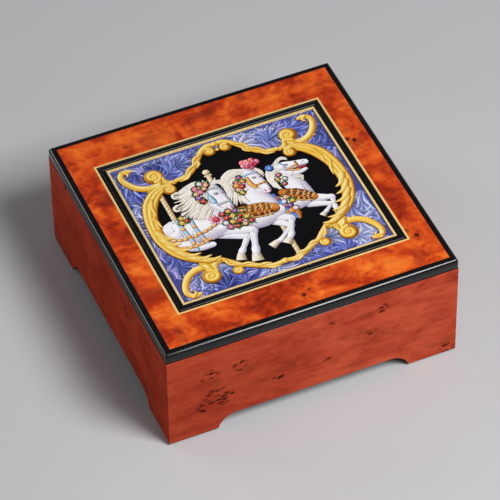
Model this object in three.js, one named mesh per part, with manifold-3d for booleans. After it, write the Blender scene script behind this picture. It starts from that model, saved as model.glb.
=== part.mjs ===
// A square musical jewellery box with a hinged, black-edged lid that carries a framed picture panel.
// The case is four mitred veneered walls on bracket feet, with a floor let into grooves. Inside are a
// two-part well, three ring rolls and, under a clear window in the back left corner, a spring-driven
// cylinder movement that is wound by a key below the floor and stopped by a rod under the lid.
// Millimetres, +Z up, front towards -Y. The group's origin is the middle of the whole box's footprint.
import * as THREE from "three";
import { mergeVertices } from "three/addons/utils/BufferGeometryUtils.js";
import Module from "manifold-3d";

const wasm = await Module();
wasm.setup();

// ---------------------------------------------------------------- driving dimensions
const GAP = 0.3; // clearance between two pieces that touch
const CASE = 178; // outside width and depth
const HEIGHT = 75; // table to the top of the lid
const WALL = 8; // wall thickness
const FELT = 0.9; // thickness of the felt under each foot
const LID = 6.6; // lid thickness
const EDGE = 4; // width of the black lid edging
const FLOOR_UNDER = 20; // underside of the floor
const FLOOR_T = 4;
const GROOVE = 3; // depth of the groove that holds the floor
const FOOT_W = 30; // width of a bracket foot at the table
const ARCH_H = 9; // height of the cut-out between two feet
const ARCH_R = 12; // radius of its corners
const MOVEMENT_ROOM = { x: -17, y: 19 }; // inner corner of the movement's compartment
const DIVIDER_T = 3;
const DIVIDER_TOP = 62;

const half = CASE / 2;
const inner = half - WALL;
const lidUnder = HEIGHT - LID;
const rim = lidUnder - GAP;
const footZ = FELT + GAP;
const floorTop = FLOOR_UNDER + FLOOR_T;

// Picture and its borders, as half widths along X and Y.
const LINE_OUT = { x: 70.9, y: 63.2, w: 1.2 };
const LINE_IN = { x: 65.4, y: 57.5, w: 1.3 };
const PICTURE_DEPTH = 2; // depth of the recess that holds them
const MIRROR = 60; // half width of the mirror
const MIRROR_RECESS = 74; // half width of the recess under the lid
const MIRROR_DEPTH = 2;

// Hinges.
const HINGE_X = 55;
const HINGE_W = 28;
const LEAF_T = 1;
const KNUCKLE_R = 1.75;
const KNUCKLE_BORE = 0.95;
const PIN_R = 0.75;
const KNUCKLE_MID = 5; // half length of the middle knuckle
const hingeY = half + 0.35 + KNUCKLE_R;
const hingeZ = (rim + lidUnder) / 2;
const HINGE_PROUD = hingeY + KNUCKLE_R - half; // how far the knuckles stand out behind

// Movement: barrel axis, cylinder axis and gears.
const BARREL = { x: -64, y: 44 };
const PLATE_T = 3;
const plateZ = floorTop + GAP;
const plateTop = plateZ + PLATE_T;
const CYL_Z = 33.5; // height of the cylinder's and governor's axes
const M_DRIVE = 0.6; // module of the great wheel and cylinder pinion
const GREAT_TEETH = 36;
const PINION_TEETH = 12;
const M_TRAIN = 0.5; // module of the governor train
const CYL_GEAR_TEETH = 24;
const GOV_PINION_TEETH = 8;
const WORM_WHEEL_TEETH = 20;
const greatR = (GREAT_TEETH * M_DRIVE) / 2;
const govY = BARREL.y + ((CYL_GEAR_TEETH + GOV_PINION_TEETH) * M_TRAIN) / 2;
const WORM_R = 1.8; // pitch radius of the worm
const wormY = govY + (WORM_WHEEL_TEETH * M_TRAIN) / 2 + WORM_R;
const WORM_X = -24.8;
const ARBOR_R = 2; // winding arbor
const CYLINDER = { r: 6.5, x0: -50, x1: -30, pin: 0.5 };
const COMB_TEETH = 18;
const ROD = { x: -28.3, y: 71, r: 1 };

// ---------------------------------------------------------------- materials
const paint = (color, roughness, metalness = 0) =>
  new THREE.MeshStandardMaterial({ color, roughness, metalness });
const veneer = paint(0xb8401c, 0.2);
const lacquer = paint(0x060606, 0.12);
const cream = paint(0xf0cf86, 0.3);
const picture = paint(0x6a73c8, 0.2);
const velvet = paint(0x5a0f1c, 0.95);
const glass = paint(0xdfe8ea, 0.05);
const silvered = paint(0xd8dcde, 0.02, 1);
const brass = paint(0xc79a45, 0.28, 1);
const steel = paint(0xb9bcc0, 0.3, 1);
const zinc = paint(0x9a9c9e, 0.45, 1);
const felt = paint(0x101010, 0.98);
const board = paint(0x6b4a2c, 0.8);

// ---------------------------------------------------------------- geometry helpers
// A closed geometry as a manifold solid.
function solid(geometry) {
  const g = geometry.index ? geometry.toNonIndexed() : geometry.clone();
  g.deleteAttribute("normal");
  g.deleteAttribute("uv");
  const merged = mergeVertices(g, 1e-4);
  return new wasm.Manifold(
    new wasm.Mesh({
      numProp: 3,
      vertProperties: merged.attributes.position.array,
      triVerts: new Uint32Array(merged.index.array),
    }),
  );
}

// A manifold solid as a geometry.
function geometryOf(manifold) {
  const m = manifold.getMesh();
  const v = new Float32Array(m.numVert * 3);
  for (let i = 0; i < m.numVert; i++) {
    v.set(m.vertProperties.subarray(i * m.numProp, i * m.numProp + 3), i * 3);
  }
  return new THREE.BufferGeometry()
    .setAttribute("position", new THREE.BufferAttribute(v, 3))
    .setIndex(new THREE.BufferAttribute(m.triVerts, 1));
}

const join = (...parts) => parts.reduce((a, b) => a.add(b));
const cut = (body, ...tools) => tools.reduce((a, b) => a.subtract(b), body);

// A block between two corners.
function block(x0, x1, y0, y1, z0, z1) {
  const g = new THREE.BoxGeometry(x1 - x0, y1 - y0, z1 - z0);
  g.translate((x0 + x1) / 2, (y0 + y1) / 2, (z0 + z1) / 2);
  return solid(g);
}

// An outline of [x, y] points, extruded up from z0 to z1.
function prism(points, z0, z1) {
  const shape = new THREE.Shape(points.map(([x, y]) => new THREE.Vector2(x, y)));
  const g = new THREE.ExtrudeGeometry(shape, { depth: z1 - z0, bevelEnabled: false });
  g.translate(0, 0, z0);
  return solid(g);
}

// An outline of [y, z] points, extruded along X.
function prismX(points, x0, x1) {
  const shape = new THREE.Shape(points.map(([y, z]) => new THREE.Vector2(y, z)));
  const g = new THREE.ExtrudeGeometry(shape, { depth: x1 - x0, bevelEnabled: false });
  g.applyMatrix4(
    new THREE.Matrix4().makeBasis(
      new THREE.Vector3(0, 1, 0),
      new THREE.Vector3(0, 0, 1),
      new THREE.Vector3(1, 0, 0),
    ),
  );
  g.translate(x0, 0, 0);
  return solid(g);
}

// An outline of [x, z] points, extruded along Y.
function prismY(points, y0, y1) {
  const shape = new THREE.Shape(points.map(([x, z]) => new THREE.Vector2(x, z)));
  const g = new THREE.ExtrudeGeometry(shape, { depth: y1 - y0, bevelEnabled: false });
  g.rotateX(Math.PI / 2);
  g.translate(0, y1, 0);
  return solid(g);
}

// Upright and lying cylinders.
function rodZ(x, y, r, z0, z1, sides = 24) {
  const g = new THREE.CylinderGeometry(r, r, z1 - z0, sides);
  g.rotateX(Math.PI / 2);
  g.translate(x, y, (z0 + z1) / 2);
  return solid(g);
}
function rodX(y, z, r, x0, x1, sides = 24) {
  const g = new THREE.CylinderGeometry(r, r, x1 - x0, sides);
  g.rotateZ(Math.PI / 2);
  g.translate((x0 + x1) / 2, y, z);
  return solid(g);
}

// A flat rectangular ring of border width w.
function ring(x, y, wx, wy, z0, z1) {
  return cut(block(-x, x, -y, y, z0, z1), block(wx - x, x - wx, wy - y, y - wy, z0 - 1, z1 + 1));
}

// Points of an arc about (cx, cy), from angle a0 to a1 in degrees.
function arc(cx, cy, r, a0, a1, steps) {
  return Array.from({ length: steps + 1 }, (_, i) => {
    const a = THREE.MathUtils.degToRad(a0 + ((a1 - a0) * i) / steps);
    return [cx + r * Math.cos(a), cy + r * Math.sin(a)];
  });
}

// A gear's outline: straight-sided teeth, the first one centred on the angle `first`, in degrees.
function gearOutline(teeth, module, first, { tip, root, tipShare, rootShare }) {
  const pitchR = (teeth * module) / 2;
  const step = 360 / teeth;
  const corners = [
    [pitchR - root, -rootShare / 2],
    [pitchR + tip, -tipShare / 2],
    [pitchR + tip, tipShare / 2],
    [pitchR - root, rootShare / 2],
  ];
  return Array.from({ length: teeth }, (_, k) =>
    corners.map(([r, share]) => {
      const a = THREE.MathUtils.degToRad(first + (k + share) * step);
      return [r * Math.cos(a), r * Math.sin(a)];
    }),
  ).flat();
}

const moved = (points, dx, dy) => points.map(([x, y]) => [x + dx, y + dy]);

const group = new THREE.Group();
group.position.y = -HINGE_PROUD / 2;

// Adds a solid to the object as a named mesh. A turn is in degrees about the case's middle axis.
function add(name, manifold, material, turn = 0) {
  const mesh = new THREE.Mesh(geometryOf(manifold), material);
  mesh.name = name;
  mesh.rotation.z = THREE.MathUtils.degToRad(turn);
  group.add(mesh);
}

// ---------------------------------------------------------------- case
// Plan of a piece that runs along the front, from depth y0 in to y1, with mitred ends.
function mitredPlan(outer, depth) {
  const m = (GAP / 2) * Math.SQRT2;
  const o = outer - m;
  const i = outer - depth - m;
  return prism(
    [
      [-o, -outer],
      [o, -outer],
      [i, depth - outer],
      [-i, depth - outer],
    ],
    0,
    HEIGHT,
  );
}

// One wall, standing at the front: bracket feet, floor groove and mitred ends.
function wall() {
  const archTop = footZ + ARCH_H;
  const sweep = THREE.MathUtils.radToDeg(Math.acos(1 - ARCH_H / ARCH_R));
  const archX = half - FOOT_W - ARCH_R * Math.sin(THREE.MathUtils.degToRad(sweep));
  const outline = [
    [-half, footZ],
    ...arc(-archX, archTop - ARCH_R, ARCH_R, 90 + sweep, 90, 6),
    ...arc(archX, archTop - ARCH_R, ARCH_R, 90, 90 - sweep, 6),
    [half, footZ],
    [half, rim],
    [-half, rim],
  ];
  const body = prismY(outline, -half, -inner).intersect(mitredPlan(half, WALL));
  const groove = block(-half, half, -inner - GROOVE, 0, FLOOR_UNDER - GAP, floorTop + GAP);
  return cut(body, groove);
}

// Room for both leaves of one hinge at x, over the back wall.
const mortise = (x, y0, z0, z1) =>
  block(x - HINGE_W / 2 - GAP, x + HINGE_W / 2 + GAP, y0 - GAP, half + 9, z0, z1);
const hinges = [
  ["left", -HINGE_X],
  ["right", HINGE_X],
];
const CASE_LEAF_Y = 82.6; // front edge of a hinge leaf on the case
const LID_LEAF_Y = 77.9; // front edge of a hinge leaf on the lid

for (const [name, turn] of [
  ["front_wall", 0],
  ["right_wall", 90],
  ["back_wall", 180],
  ["left_wall", 270],
]) {
  let body = wall();
  if (name === "back_wall") {
    body = hinges.reduce(
      (b, [, x]) => cut(b, mortise(x, CASE_LEAF_Y, rim - 1.3, HEIGHT).rotate([0, 0, 180])),
      body,
    );
  }
  add(name, body, veneer, turn);
}

const screwHoles = [
  [-71, 26.5],
  [-26, 27],
];
const floorHalf = inner + GROOVE - GAP;
add(
  "floor_panel",
  cut(
    block(-floorHalf, floorHalf, -floorHalf, floorHalf, FLOOR_UNDER, floorTop),
    rodZ(BARREL.x, BARREL.y, 3, FLOOR_UNDER - 1, floorTop + 1, 16),
    ...screwHoles.map(([x, y]) => rodZ(x, y, 1.8, FLOOR_UNDER - 1, floorTop + 1, 12)),
  ),
  board,
);

// A felt under each foot, set in from the outside corner.
const FELT_R = 3;
const feltAt = half - WALL / 2 - 0.5;
for (const [name, sx, sy] of [
  ["front_left", -1, -1],
  ["front_right", 1, -1],
  ["back_right", 1, 1],
  ["back_left", -1, 1],
]) {
  add(`foot_felt_${name}`, rodZ(sx * feltAt, sy * feltAt, FELT_R, 0, FELT, 16), felt);
}

// ---------------------------------------------------------------- inside the case
const wallIn = inner - GAP;
const roomRight = MOVEMENT_ROOM.x + DIVIDER_T;
const roomFront = MOVEMENT_ROOM.y - DIVIDER_T;
const LINING = 1;
const linedIn = wallIn - LINING;
const PAD_T = 2;
const padTop = floorTop + GAP + PAD_T;

add(
  "cross_divider",
  block(-wallIn + LINING + GAP, linedIn - GAP, roomFront, MOVEMENT_ROOM.y, plateZ, DIVIDER_TOP),
  velvet,
);
add(
  "movement_divider",
  block(
    MOVEMENT_ROOM.x,
    roomRight,
    MOVEMENT_ROOM.y + GAP,
    linedIn - GAP,
    plateZ,
    DIVIDER_TOP,
  ),
  velvet,
);
add(
  "well_divider",
  block(-1.5, 1.5, GAP - linedIn, roomFront - GAP, padTop + GAP, DIVIDER_TOP - 4),
  velvet,
);
add(
  "well_floor_pad",
  block(-linedIn + GAP, linedIn - GAP, GAP - linedIn, roomFront - GAP, plateZ, padTop),
  velvet,
);

// Velvet-covered card round the walls, except behind the movement.
const liningTop = 65;
add(
  "wall_lining",
  prism(
    [
      [-wallIn, roomFront],
      [-wallIn, -wallIn],
      [wallIn, -wallIn],
      [wallIn, wallIn],
      [MOVEMENT_ROOM.x, wallIn],
      [MOVEMENT_ROOM.x, linedIn],
      [linedIn, linedIn],
      [linedIn, -linedIn],
      [-linedIn, -linedIn],
      [-linedIn, roomFront],
    ],
    plateZ,
    liningTop,
  ),
  velvet,
);

// Ring rolls: long pads with rounded tops, side by side.
const ROLLS = 3;
const ROLL_TOP = 46;
const rollPitch = (linedIn - MOVEMENT_ROOM.y - GAP) / ROLLS;
for (let i = 0; i < ROLLS; i++) {
  const y0 = MOVEMENT_ROOM.y + GAP + i * rollPitch;
  const r = (rollPitch - GAP) / 2;
  const outline = [
    [y0, plateZ],
    [y0 + 2 * r, plateZ],
    ...arc(y0 + r, ROLL_TOP - r, r, 0, 180, 10),
  ];
  add(`ring_roll_${i + 1}`, prismX(outline, roomRight + GAP, linedIn - GAP), velvet);
}

// Clear window over the movement, on a wooden frame round the compartment.
const WINDOW_Z = 58;
const WINDOW_T = 2;
const FRAME_W = 3.5;
const room = {
  x0: -wallIn,
  x1: MOVEMENT_ROOM.x - GAP,
  y0: MOVEMENT_ROOM.y + GAP,
  y1: wallIn,
};
add(
  "window_frame",
  cut(
    block(room.x0, room.x1, room.y0, room.y1, WINDOW_Z - GAP - 3.5, WINDOW_Z - GAP),
    block(
      room.x0 + FRAME_W,
      room.x1 - FRAME_W,
      room.y0 + FRAME_W,
      room.y1 - FRAME_W,
      0,
      HEIGHT,
    ),
  ),
  lacquer,
);
add(
  "movement_window",
  cut(
    block(room.x0, room.x1, room.y0, room.y1, WINDOW_Z, WINDOW_Z + WINDOW_T),
    rodZ(ROD.x, ROD.y, ROD.r + 0.6, WINDOW_Z - 1, WINDOW_Z + WINDOW_T + 1, 16),
  ),
  glass,
);

// ---------------------------------------------------------------- hinges
const hingeTube = (x0, x1, r) => rodX(hingeY, hingeZ, r, x0, x1, 16);
for (const [side, x] of hinges) {
  const x0 = x - HINGE_W / 2;
  const x1 = x + HINGE_W / 2;
  const mid0 = x - KNUCKLE_MID;
  const mid1 = x + KNUCKLE_MID;
  const bore = hingeTube(x0 - 1, x1 + 1, KNUCKLE_BORE);
  const reach = KNUCKLE_R + GAP; // radius kept clear for the other leaf's knuckle
  const caseLeafTop = rim - 0.1;
  const lidLeafUnder = lidUnder + 0.1;
  const caseLeaf = cut(
    join(
      block(x0, x1, CASE_LEAF_Y, hingeY, caseLeafTop - LEAF_T, caseLeafTop),
      hingeTube(x0, x1, KNUCKLE_R),
    ),
    hingeTube(mid0 - GAP / 2, mid1 + GAP / 2, reach),
    bore,
  );
  const lidLeaf = cut(
    join(
      block(x0, x1, LID_LEAF_Y, hingeY, lidLeafUnder, lidLeafUnder + LEAF_T),
      hingeTube(mid0 + GAP / 2, mid1 - GAP / 2, KNUCKLE_R),
    ),
    hingeTube(x0 - 1, mid0 + GAP / 2, reach),
    hingeTube(mid1 - GAP / 2, x1 + 1, reach),
    bore,
  );
  const pin = join(
    hingeTube(x0 - 0.6, x1 + 0.6, PIN_R),
    hingeTube(x0 - 1.4, x0 - 0.4, KNUCKLE_R - 0.4),
    hingeTube(x1 + 0.4, x1 + 1.4, KNUCKLE_R - 0.4),
  );
  add(`hinge_case_leaf_${side}`, caseLeaf, brass);
  add(`hinge_lid_leaf_${side}`, lidLeaf, brass);
  add(`hinge_pin_${side}`, pin, brass);
}

// ---------------------------------------------------------------- lid
const panelHalf = half - EDGE - GAP;
const recessFloor = HEIGHT - PICTURE_DEPTH;
add(
  "lid_panel",
  cut(
    block(-panelHalf, panelHalf, -panelHalf, panelHalf, lidUnder, HEIGHT),
    block(
      -LINE_OUT.x - GAP,
      LINE_OUT.x + GAP,
      -LINE_OUT.y - GAP,
      LINE_OUT.y + GAP,
      recessFloor,
      HEIGHT + 1,
    ),
    block(
      -MIRROR_RECESS,
      MIRROR_RECESS,
      -MIRROR_RECESS,
      MIRROR_RECESS,
      lidUnder - 1,
      lidUnder + MIRROR_DEPTH,
    ),
    ...hinges.map(([, x]) => mortise(x, LID_LEAF_Y, lidUnder - 1, lidUnder + LEAF_T + 0.4)),
  ),
  veneer,
);

// One edging strip, at the front: rounded top corner, eased lower corner, mitred ends.
const ROUND = 2.4;
const EASE = 0.8;
function edging() {
  const outline = [
    [EDGE - half, lidUnder],
    [EDGE - half, HEIGHT],
    ...arc(ROUND - half, HEIGHT - ROUND, ROUND, 90, 180, 5),
    [-half, lidUnder + EASE],
    [EASE - half, lidUnder],
  ];
  return prismX(outline.reverse(), -half, half).intersect(mitredPlan(half, EDGE));
}
for (const [name, turn] of [
  ["front", 0],
  ["right", 90],
  ["back", 180],
  ["left", 270],
]) {
  let strip = edging();
  if (name === "back") {
    strip = hinges.reduce(
      (b, [, x]) =>
        cut(b, mortise(x, LID_LEAF_Y, 0, lidUnder + LEAF_T + 0.4).rotate([0, 0, 180])),
      strip,
    );
  }
  add(`lid_edge_${name}`, strip, lacquer, turn);
}

const inlayZ = recessFloor + GAP;
add(
  "outer_line_inlay",
  ring(LINE_OUT.x, LINE_OUT.y, LINE_OUT.w, LINE_OUT.w, inlayZ, HEIGHT),
  cream,
);
const frameX = LINE_OUT.x - LINE_OUT.w - GAP;
const frameY = LINE_OUT.y - LINE_OUT.w - GAP;
add(
  "picture_frame",
  ring(frameX, frameY, frameX - LINE_IN.x - GAP, frameY - LINE_IN.y - GAP, inlayZ, HEIGHT),
  lacquer,
);
add("inner_line_inlay", ring(LINE_IN.x, LINE_IN.y, LINE_IN.w, LINE_IN.w, inlayZ, HEIGHT), cream);
const plateX = LINE_IN.x - LINE_IN.w - GAP;
const plateY = LINE_IN.y - LINE_IN.w - GAP;
add("picture_plate", block(-plateX, plateX, -plateY, plateY, inlayZ, HEIGHT - 0.4), picture);

const mirrorTop = lidUnder + MIRROR_DEPTH - GAP;
add("lid_mirror", block(-MIRROR, MIRROR, -MIRROR, MIRROR, mirrorTop - 1.3, mirrorTop), silvered);
const liningHalf = MIRROR_RECESS - GAP;
const liningW = liningHalf - MIRROR - GAP;
const liningUnder = mirrorTop - 1.4;
add(
  "lid_lining",
  ring(liningHalf, liningHalf, liningW, liningW, liningUnder, mirrorTop),
  velvet,
);

// ---------------------------------------------------------------- movement: fixed parts
const bearingTop = 37;
// A bearing lug standing across X, with a hole for each axis in it.
function lug(x0, x1, y0, y1, axes) {
  const body = block(x0, x1, y0, y1, plateTop - 0.5, bearingTop);
  return cut(body, ...axes.map((y) => rodX(y, CYL_Z, 1.25, x0 - 1, x1 + 1, 16)));
}
const rightLug = { x0: -29.5, x1: -28.3 };
const COMB_Z = CYL_Z - 0.5;
const comb = { x0: -49.6, x1: -30.4, heel0: 22.6, heel1: 27.2, tips: 36.6 };
const combScrews = [-45, -35];
const combScrewY = 24.9;
add(
  "bedplate",
  cut(
    join(
      block(-78, -22, 22, 68, plateZ, plateTop),
      block(ROD.x - 2.8, ROD.x + 2.8, 67, ROD.y + 2.8, plateZ, plateTop),
      block(comb.x0 - 0.6, comb.x1 + 0.6, 22, comb.heel1 + 0.6, plateZ, COMB_Z - GAP),
    ),
    block(-50.2, -29.8, 36.6, 51.4, 0, HEIGHT),
    block(rightLug.x1 + 0.1, -26.2, 37, 51, 0, HEIGHT),
    rodZ(BARREL.x, BARREL.y, ARBOR_R + 0.5, 0, HEIGHT, 16),
    rodZ(ROD.x, ROD.y, ROD.r + 0.3, 0, HEIGHT, 16),
    ...combScrews.map((x) => rodZ(x, combScrewY, 1.3, plateTop, HEIGHT, 12)),
    ...screwHoles.map(([x, y]) => rodZ(x, y, 1.7, 0, plateTop - 0.6, 12)),
  )
    .add(lug(-51.7, -50.5, 40, 48, [BARREL.y]))
    .add(lug(rightLug.x0, rightLug.x1, 40, 55.5, [BARREL.y, govY])),
  zinc,
);

// Steel comb: a heel with tuned teeth that shorten from bass to treble.
const combPitch = (comb.x1 - comb.x0) / COMB_TEETH;
const combGap = 0.32;
const combOutline = [
  [comb.x1, comb.heel0],
  [comb.x0, comb.heel0],
];
for (let i = 0; i < COMB_TEETH; i++) {
  const x = comb.x0 + i * combPitch;
  const root = comb.heel1 + 0.6 + (i / COMB_TEETH) * 3;
  if (i > 0) combOutline.push([x, root]);
  combOutline.push([x, comb.tips]);
  combOutline.push([x + combPitch - combGap, comb.tips]);
  if (i < COMB_TEETH - 1) combOutline.push([x + combPitch - combGap, root]);
}
combOutline.push([comb.x1 - combGap, comb.heel1]);
combOutline.push([comb.x1, comb.heel1]);
add(
  "comb",
  cut(
    prism(combOutline.reverse(), COMB_Z, COMB_Z + 1),
    ...combScrews.map((x) => rodZ(x, combScrewY, 1.3, 0, HEIGHT, 12)),
  ),
  steel,
);

// A slotted machine screw, head up, its head seated at z.
function screw(x, y, z, headR, headH, shankR, length, down = 1) {
  const head = rodZ(x, y, headR, down > 0 ? z : z - headH, down > 0 ? z + headH : z, 16);
  const shank = rodZ(
    x,
    y,
    shankR,
    down > 0 ? z - length : z - 0.2,
    down > 0 ? z + 0.2 : z + length,
    12,
  );
  const slotZ = down > 0 ? z + headH * 0.6 : z - headH * 0.6;
  const slot = block(
    x - headR - 1,
    x + headR + 1,
    y - 0.3,
    y + 0.3,
    Math.min(slotZ, slotZ + down * headH),
    Math.max(slotZ, slotZ + down * headH),
  );
  return cut(join(head, shank), slot);
}
combScrews.forEach((x, i) =>
  add(`comb_screw_${i + 1}`, screw(x, combScrewY, COMB_Z + 1 + GAP, 2, 1.4, 1, 5), steel),
);
screwHoles.forEach(([x, y], i) =>
  add(
    `movement_screw_${i + 1}`,
    screw(x, y, FLOOR_UNDER - GAP, 2.8, 1.6, 1.4, 6.5, -1),
    steel,
  ),
);

// Bridge over the barrel: a post behind the great wheel and an arm that steadies the arbor.
const BRIDGE_Z = 42;
const bridgeTop = BRIDGE_Z + 1.5;
const CLICK = { x: -59.4, y: 53.6 };
add(
  "barrel_bridge",
  cut(
    join(
      block(-68.5, -57.5, 58.4, 63, plateTop + GAP, BRIDGE_Z + 0.5),
      block(-68.5, -57.5, 38.5, 63, BRIDGE_Z, bridgeTop),
      rodZ(CLICK.x, CLICK.y, 0.7, BRIDGE_Z, bridgeTop + 1.9, 12),
    ),
    rodZ(BARREL.x, BARREL.y, ARBOR_R + 0.5, 0, HEIGHT, 16),
  ),
  brass,
);

// Governor bracket: foot, side bearing, post and the cock over the worm.
const COCK_Z = 44;
add(
  "governor_bracket",
  cut(
    join(
      block(-27.6, -22.3, 56.6, 67.5, plateTop + GAP, plateTop + 1.6),
      block(-23.3, -22.3, 49.5, 57, plateTop + GAP, plateTop + 1.6),
      block(-23.3, -22.3, 49.5, 54.8, plateTop + GAP, bearingTop),
      block(-26.5, -22.3, 65, 67.5, plateTop + GAP, COCK_Z + 1.2),
      block(-26.5, -23.1, 57, 67.5, COCK_Z, COCK_Z + 1.2),
    ),
    rodX(govY, CYL_Z, 1.1, -24, -21, 12),
    rodZ(WORM_X, wormY, 0.9, plateTop + 0.7, HEIGHT, 12),
  ),
  brass,
);

// ---------------------------------------------------------------- movement: spring and drive
const GREAT_Z = 27.9;
const greatFace = 29.1;
const toothTop = CYL_Z - (PINION_TEETH * M_DRIVE) / 2 + 0.4;
const TOOTH_IN = 9.7;
const TOOTH_OUT = 11.8;

// One face tooth of the great wheel: a radial ridge, narrower at its crest.
function faceTooth(angle) {
  const w = ((Math.PI * M_DRIVE) / 2) * 0.78;
  const crest = w * 0.55;
  const t = prismX(
    [
      [-w / 2, greatFace - 0.4],
      [w / 2, greatFace - 0.4],
      [crest / 2, toothTop],
      [-crest / 2, toothTop],
    ],
    TOOTH_IN,
    TOOTH_OUT - 0.05,
  );
  return t.rotate([0, 0, angle]);
}
let greatWheel = rodZ(0, 0, TOOTH_OUT, GREAT_Z, greatFace, 36);
for (let k = 0; k < GREAT_TEETH; k++) {
  greatWheel = greatWheel.add(faceTooth(((k + 0.5) * 360) / GREAT_TEETH));
}
greatWheel = greatWheel
  .translate([BARREL.x, BARREL.y, 0])
  .subtract(rodZ(BARREL.x, BARREL.y, ARBOR_R + 0.5, 0, HEIGHT, 16));
add("great_wheel", greatWheel, brass);

const BARREL_R = 8.6;
const barrelTop = 40.5;
add(
  "spring_barrel",
  cut(
    rodZ(BARREL.x, BARREL.y, BARREL_R, greatFace + GAP, barrelTop, 32),
    rodZ(BARREL.x, BARREL.y, BARREL_R - 0.8, 0, barrelTop - 1, 32),
    rodZ(BARREL.x, BARREL.y, ARBOR_R + 0.6, 0, HEIGHT, 16),
  ),
  brass,
);

// Mainspring: a flat spiral inside the barrel.
const SPRING_TURNS = 3.5;
const SPRING_T = 0.4;
const spiral = (offset) =>
  Array.from({ length: SPRING_TURNS * 16 + 1 }, (_, i) => {
    const a = (i * Math.PI) / 8;
    const r = 3 + (4 * i) / (SPRING_TURNS * 16) + offset;
    return [BARREL.x + r * Math.cos(a), BARREL.y + r * Math.sin(a)];
  });
add(
  "mainspring",
  prism([...spiral(SPRING_T), ...spiral(0).reverse()], greatFace + 0.8, barrelTop - 1.6),
  steel,
);

add("winding_arbor", rodZ(BARREL.x, BARREL.y, ARBOR_R, 12.9, bridgeTop + 2.8, 16), steel);

// Ratchet on the arbor, and the click that holds it against the spring.
const RATCHET_TEETH = 12;
const ratchetZ = bridgeTop + GAP;
const ratchetOutline = Array.from({ length: RATCHET_TEETH }, (_, k) => {
  const step = 360 / RATCHET_TEETH;
  const a = THREE.MathUtils.degToRad(k * step + 58);
  const b = a + THREE.MathUtils.degToRad(0.5);
  return [
    [4.2 * Math.cos(a), 4.2 * Math.sin(a)],
    [5.3 * Math.cos(b), 5.3 * Math.sin(b)],
  ];
}).flat();
add(
  "ratchet_wheel",
  cut(
    prism(moved(ratchetOutline, BARREL.x, BARREL.y), ratchetZ, ratchetZ + 1.2),
    rodZ(BARREL.x, BARREL.y, ARBOR_R + GAP, 0, HEIGHT, 16),
  ),
  steel,
);
const clickTip = [BARREL.x + 3.0, BARREL.y + 4.6];
const clickRound = arc(CLICK.x, CLICK.y, 1.7, -60, 200, 8);
add(
  "click",
  cut(
    prism([[clickTip[0] + 1.1, clickTip[1] + 0.3], ...clickRound, clickTip], ratchetZ, ratchetZ + 1.2),
    rodZ(CLICK.x, CLICK.y, 1, 0, HEIGHT, 12),
  ),
  steel,
);

// Winding key: a threaded hub with two wings, below the floor.
const wing = (s) => [
  [0, 9.5],
  ...arc(s * 8.6, 7.2, 4.4, s > 0 ? 125 : 55, s > 0 ? -125 : 305, 10),
  [0, 5.2],
];
const wingRight = wing(1);
const wingLeft = wing(-1);
const KEY_T = 1.8;
const keyPlate = (points) => prismY(points, -KEY_T / 2, KEY_T / 2);
add(
  "winding_key",
  cut(
    join(keyPlate([...wingRight].reverse()), keyPlate(wingLeft), rodZ(0, 0, 3.6, 5.5, 18, 16)),
    rodZ(0, 0, ARBOR_R + 0.35, 12.6, 19, 16),
  ).translate([BARREL.x, BARREL.y, 0]),
  brass,
);

// ---------------------------------------------------------------- movement: cylinder
const DRIVE_TOOTH = { tip: 0.5, root: 0.7, tipShare: 0.2, rootShare: 0.44 };
const TRAIN_TOOTH = { tip: 0.4, root: 0.62, tipShare: 0.22, rootShare: 0.44 };
const pinionOutline = gearOutline(PINION_TEETH, M_DRIVE, -90, DRIVE_TOOTH);
add(
  "cylinder_arbor",
  join(
    prismX(moved(pinionOutline, BARREL.y, CYL_Z), -54.35, -52.2),
    rodX(BARREL.y, CYL_Z, 1, -53, -25.9, 12),
  ),
  steel,
);

// Pinned cylinder: rows of short pins, one row for each comb tooth.
const PIN_W = 0.4;
const PINS_PER_ROW = 4;
let cylinder = rodX(0, 0, CYLINDER.r, CYLINDER.x0, CYLINDER.x1, 36);
for (let row = 0; row < COMB_TEETH; row++) {
  const x = comb.x0 + (row + 0.5) * combPitch - combGap / 2;
  for (let k = 0; k < PINS_PER_ROW; k++) {
    const angle = (row * 137.5 + k * 90 + ((row * k * 23) % 47)) % 360;
    const pin = block(
      x - PIN_W / 2,
      x + PIN_W / 2,
      -PIN_W / 2,
      PIN_W / 2,
      CYLINDER.r - 0.4,
      CYLINDER.r + CYLINDER.pin,
    );
    cylinder = cylinder.add(pin.rotate([angle, 0, 0]));
  }
}
add(
  "cylinder",
  cut(
    cylinder.translate([0, BARREL.y, CYL_Z]),
    rodX(BARREL.y, CYL_Z, 1 + GAP, CYLINDER.x0 - 1, CYLINDER.x1 + 1, 12),
  ),
  brass,
);
add(
  "cylinder_gear",
  cut(
    prismX(
      moved(
        gearOutline(CYL_GEAR_TEETH, M_TRAIN, 180 / CYL_GEAR_TEETH, TRAIN_TOOTH),
        BARREL.y,
        CYL_Z,
      ),
      -27.9,
      -26.6,
    ),
    rodX(BARREL.y, CYL_Z, 1 + GAP, -29, -25, 12),
  ),
  brass,
);

// ---------------------------------------------------------------- movement: governor
add(
  "governor_wheel",
  join(
    prismX(
      moved(gearOutline(GOV_PINION_TEETH, M_TRAIN, 180, TRAIN_TOOTH), govY, CYL_Z),
      -27.9,
      -26.2,
    ),
    prismX(
      moved(
        gearOutline(WORM_WHEEL_TEETH, M_TRAIN, 0, {
          tip: 0.42,
          root: 0.6,
          tipShare: 0.2,
          rootShare: 0.42,
        }),
        govY,
        CYL_Z,
      ),
      -25.4,
      -24.2,
    ),
    rodX(govY, CYL_Z, 0.8, -29.2, -22.4, 12),
  ),
  brass,
);

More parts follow.
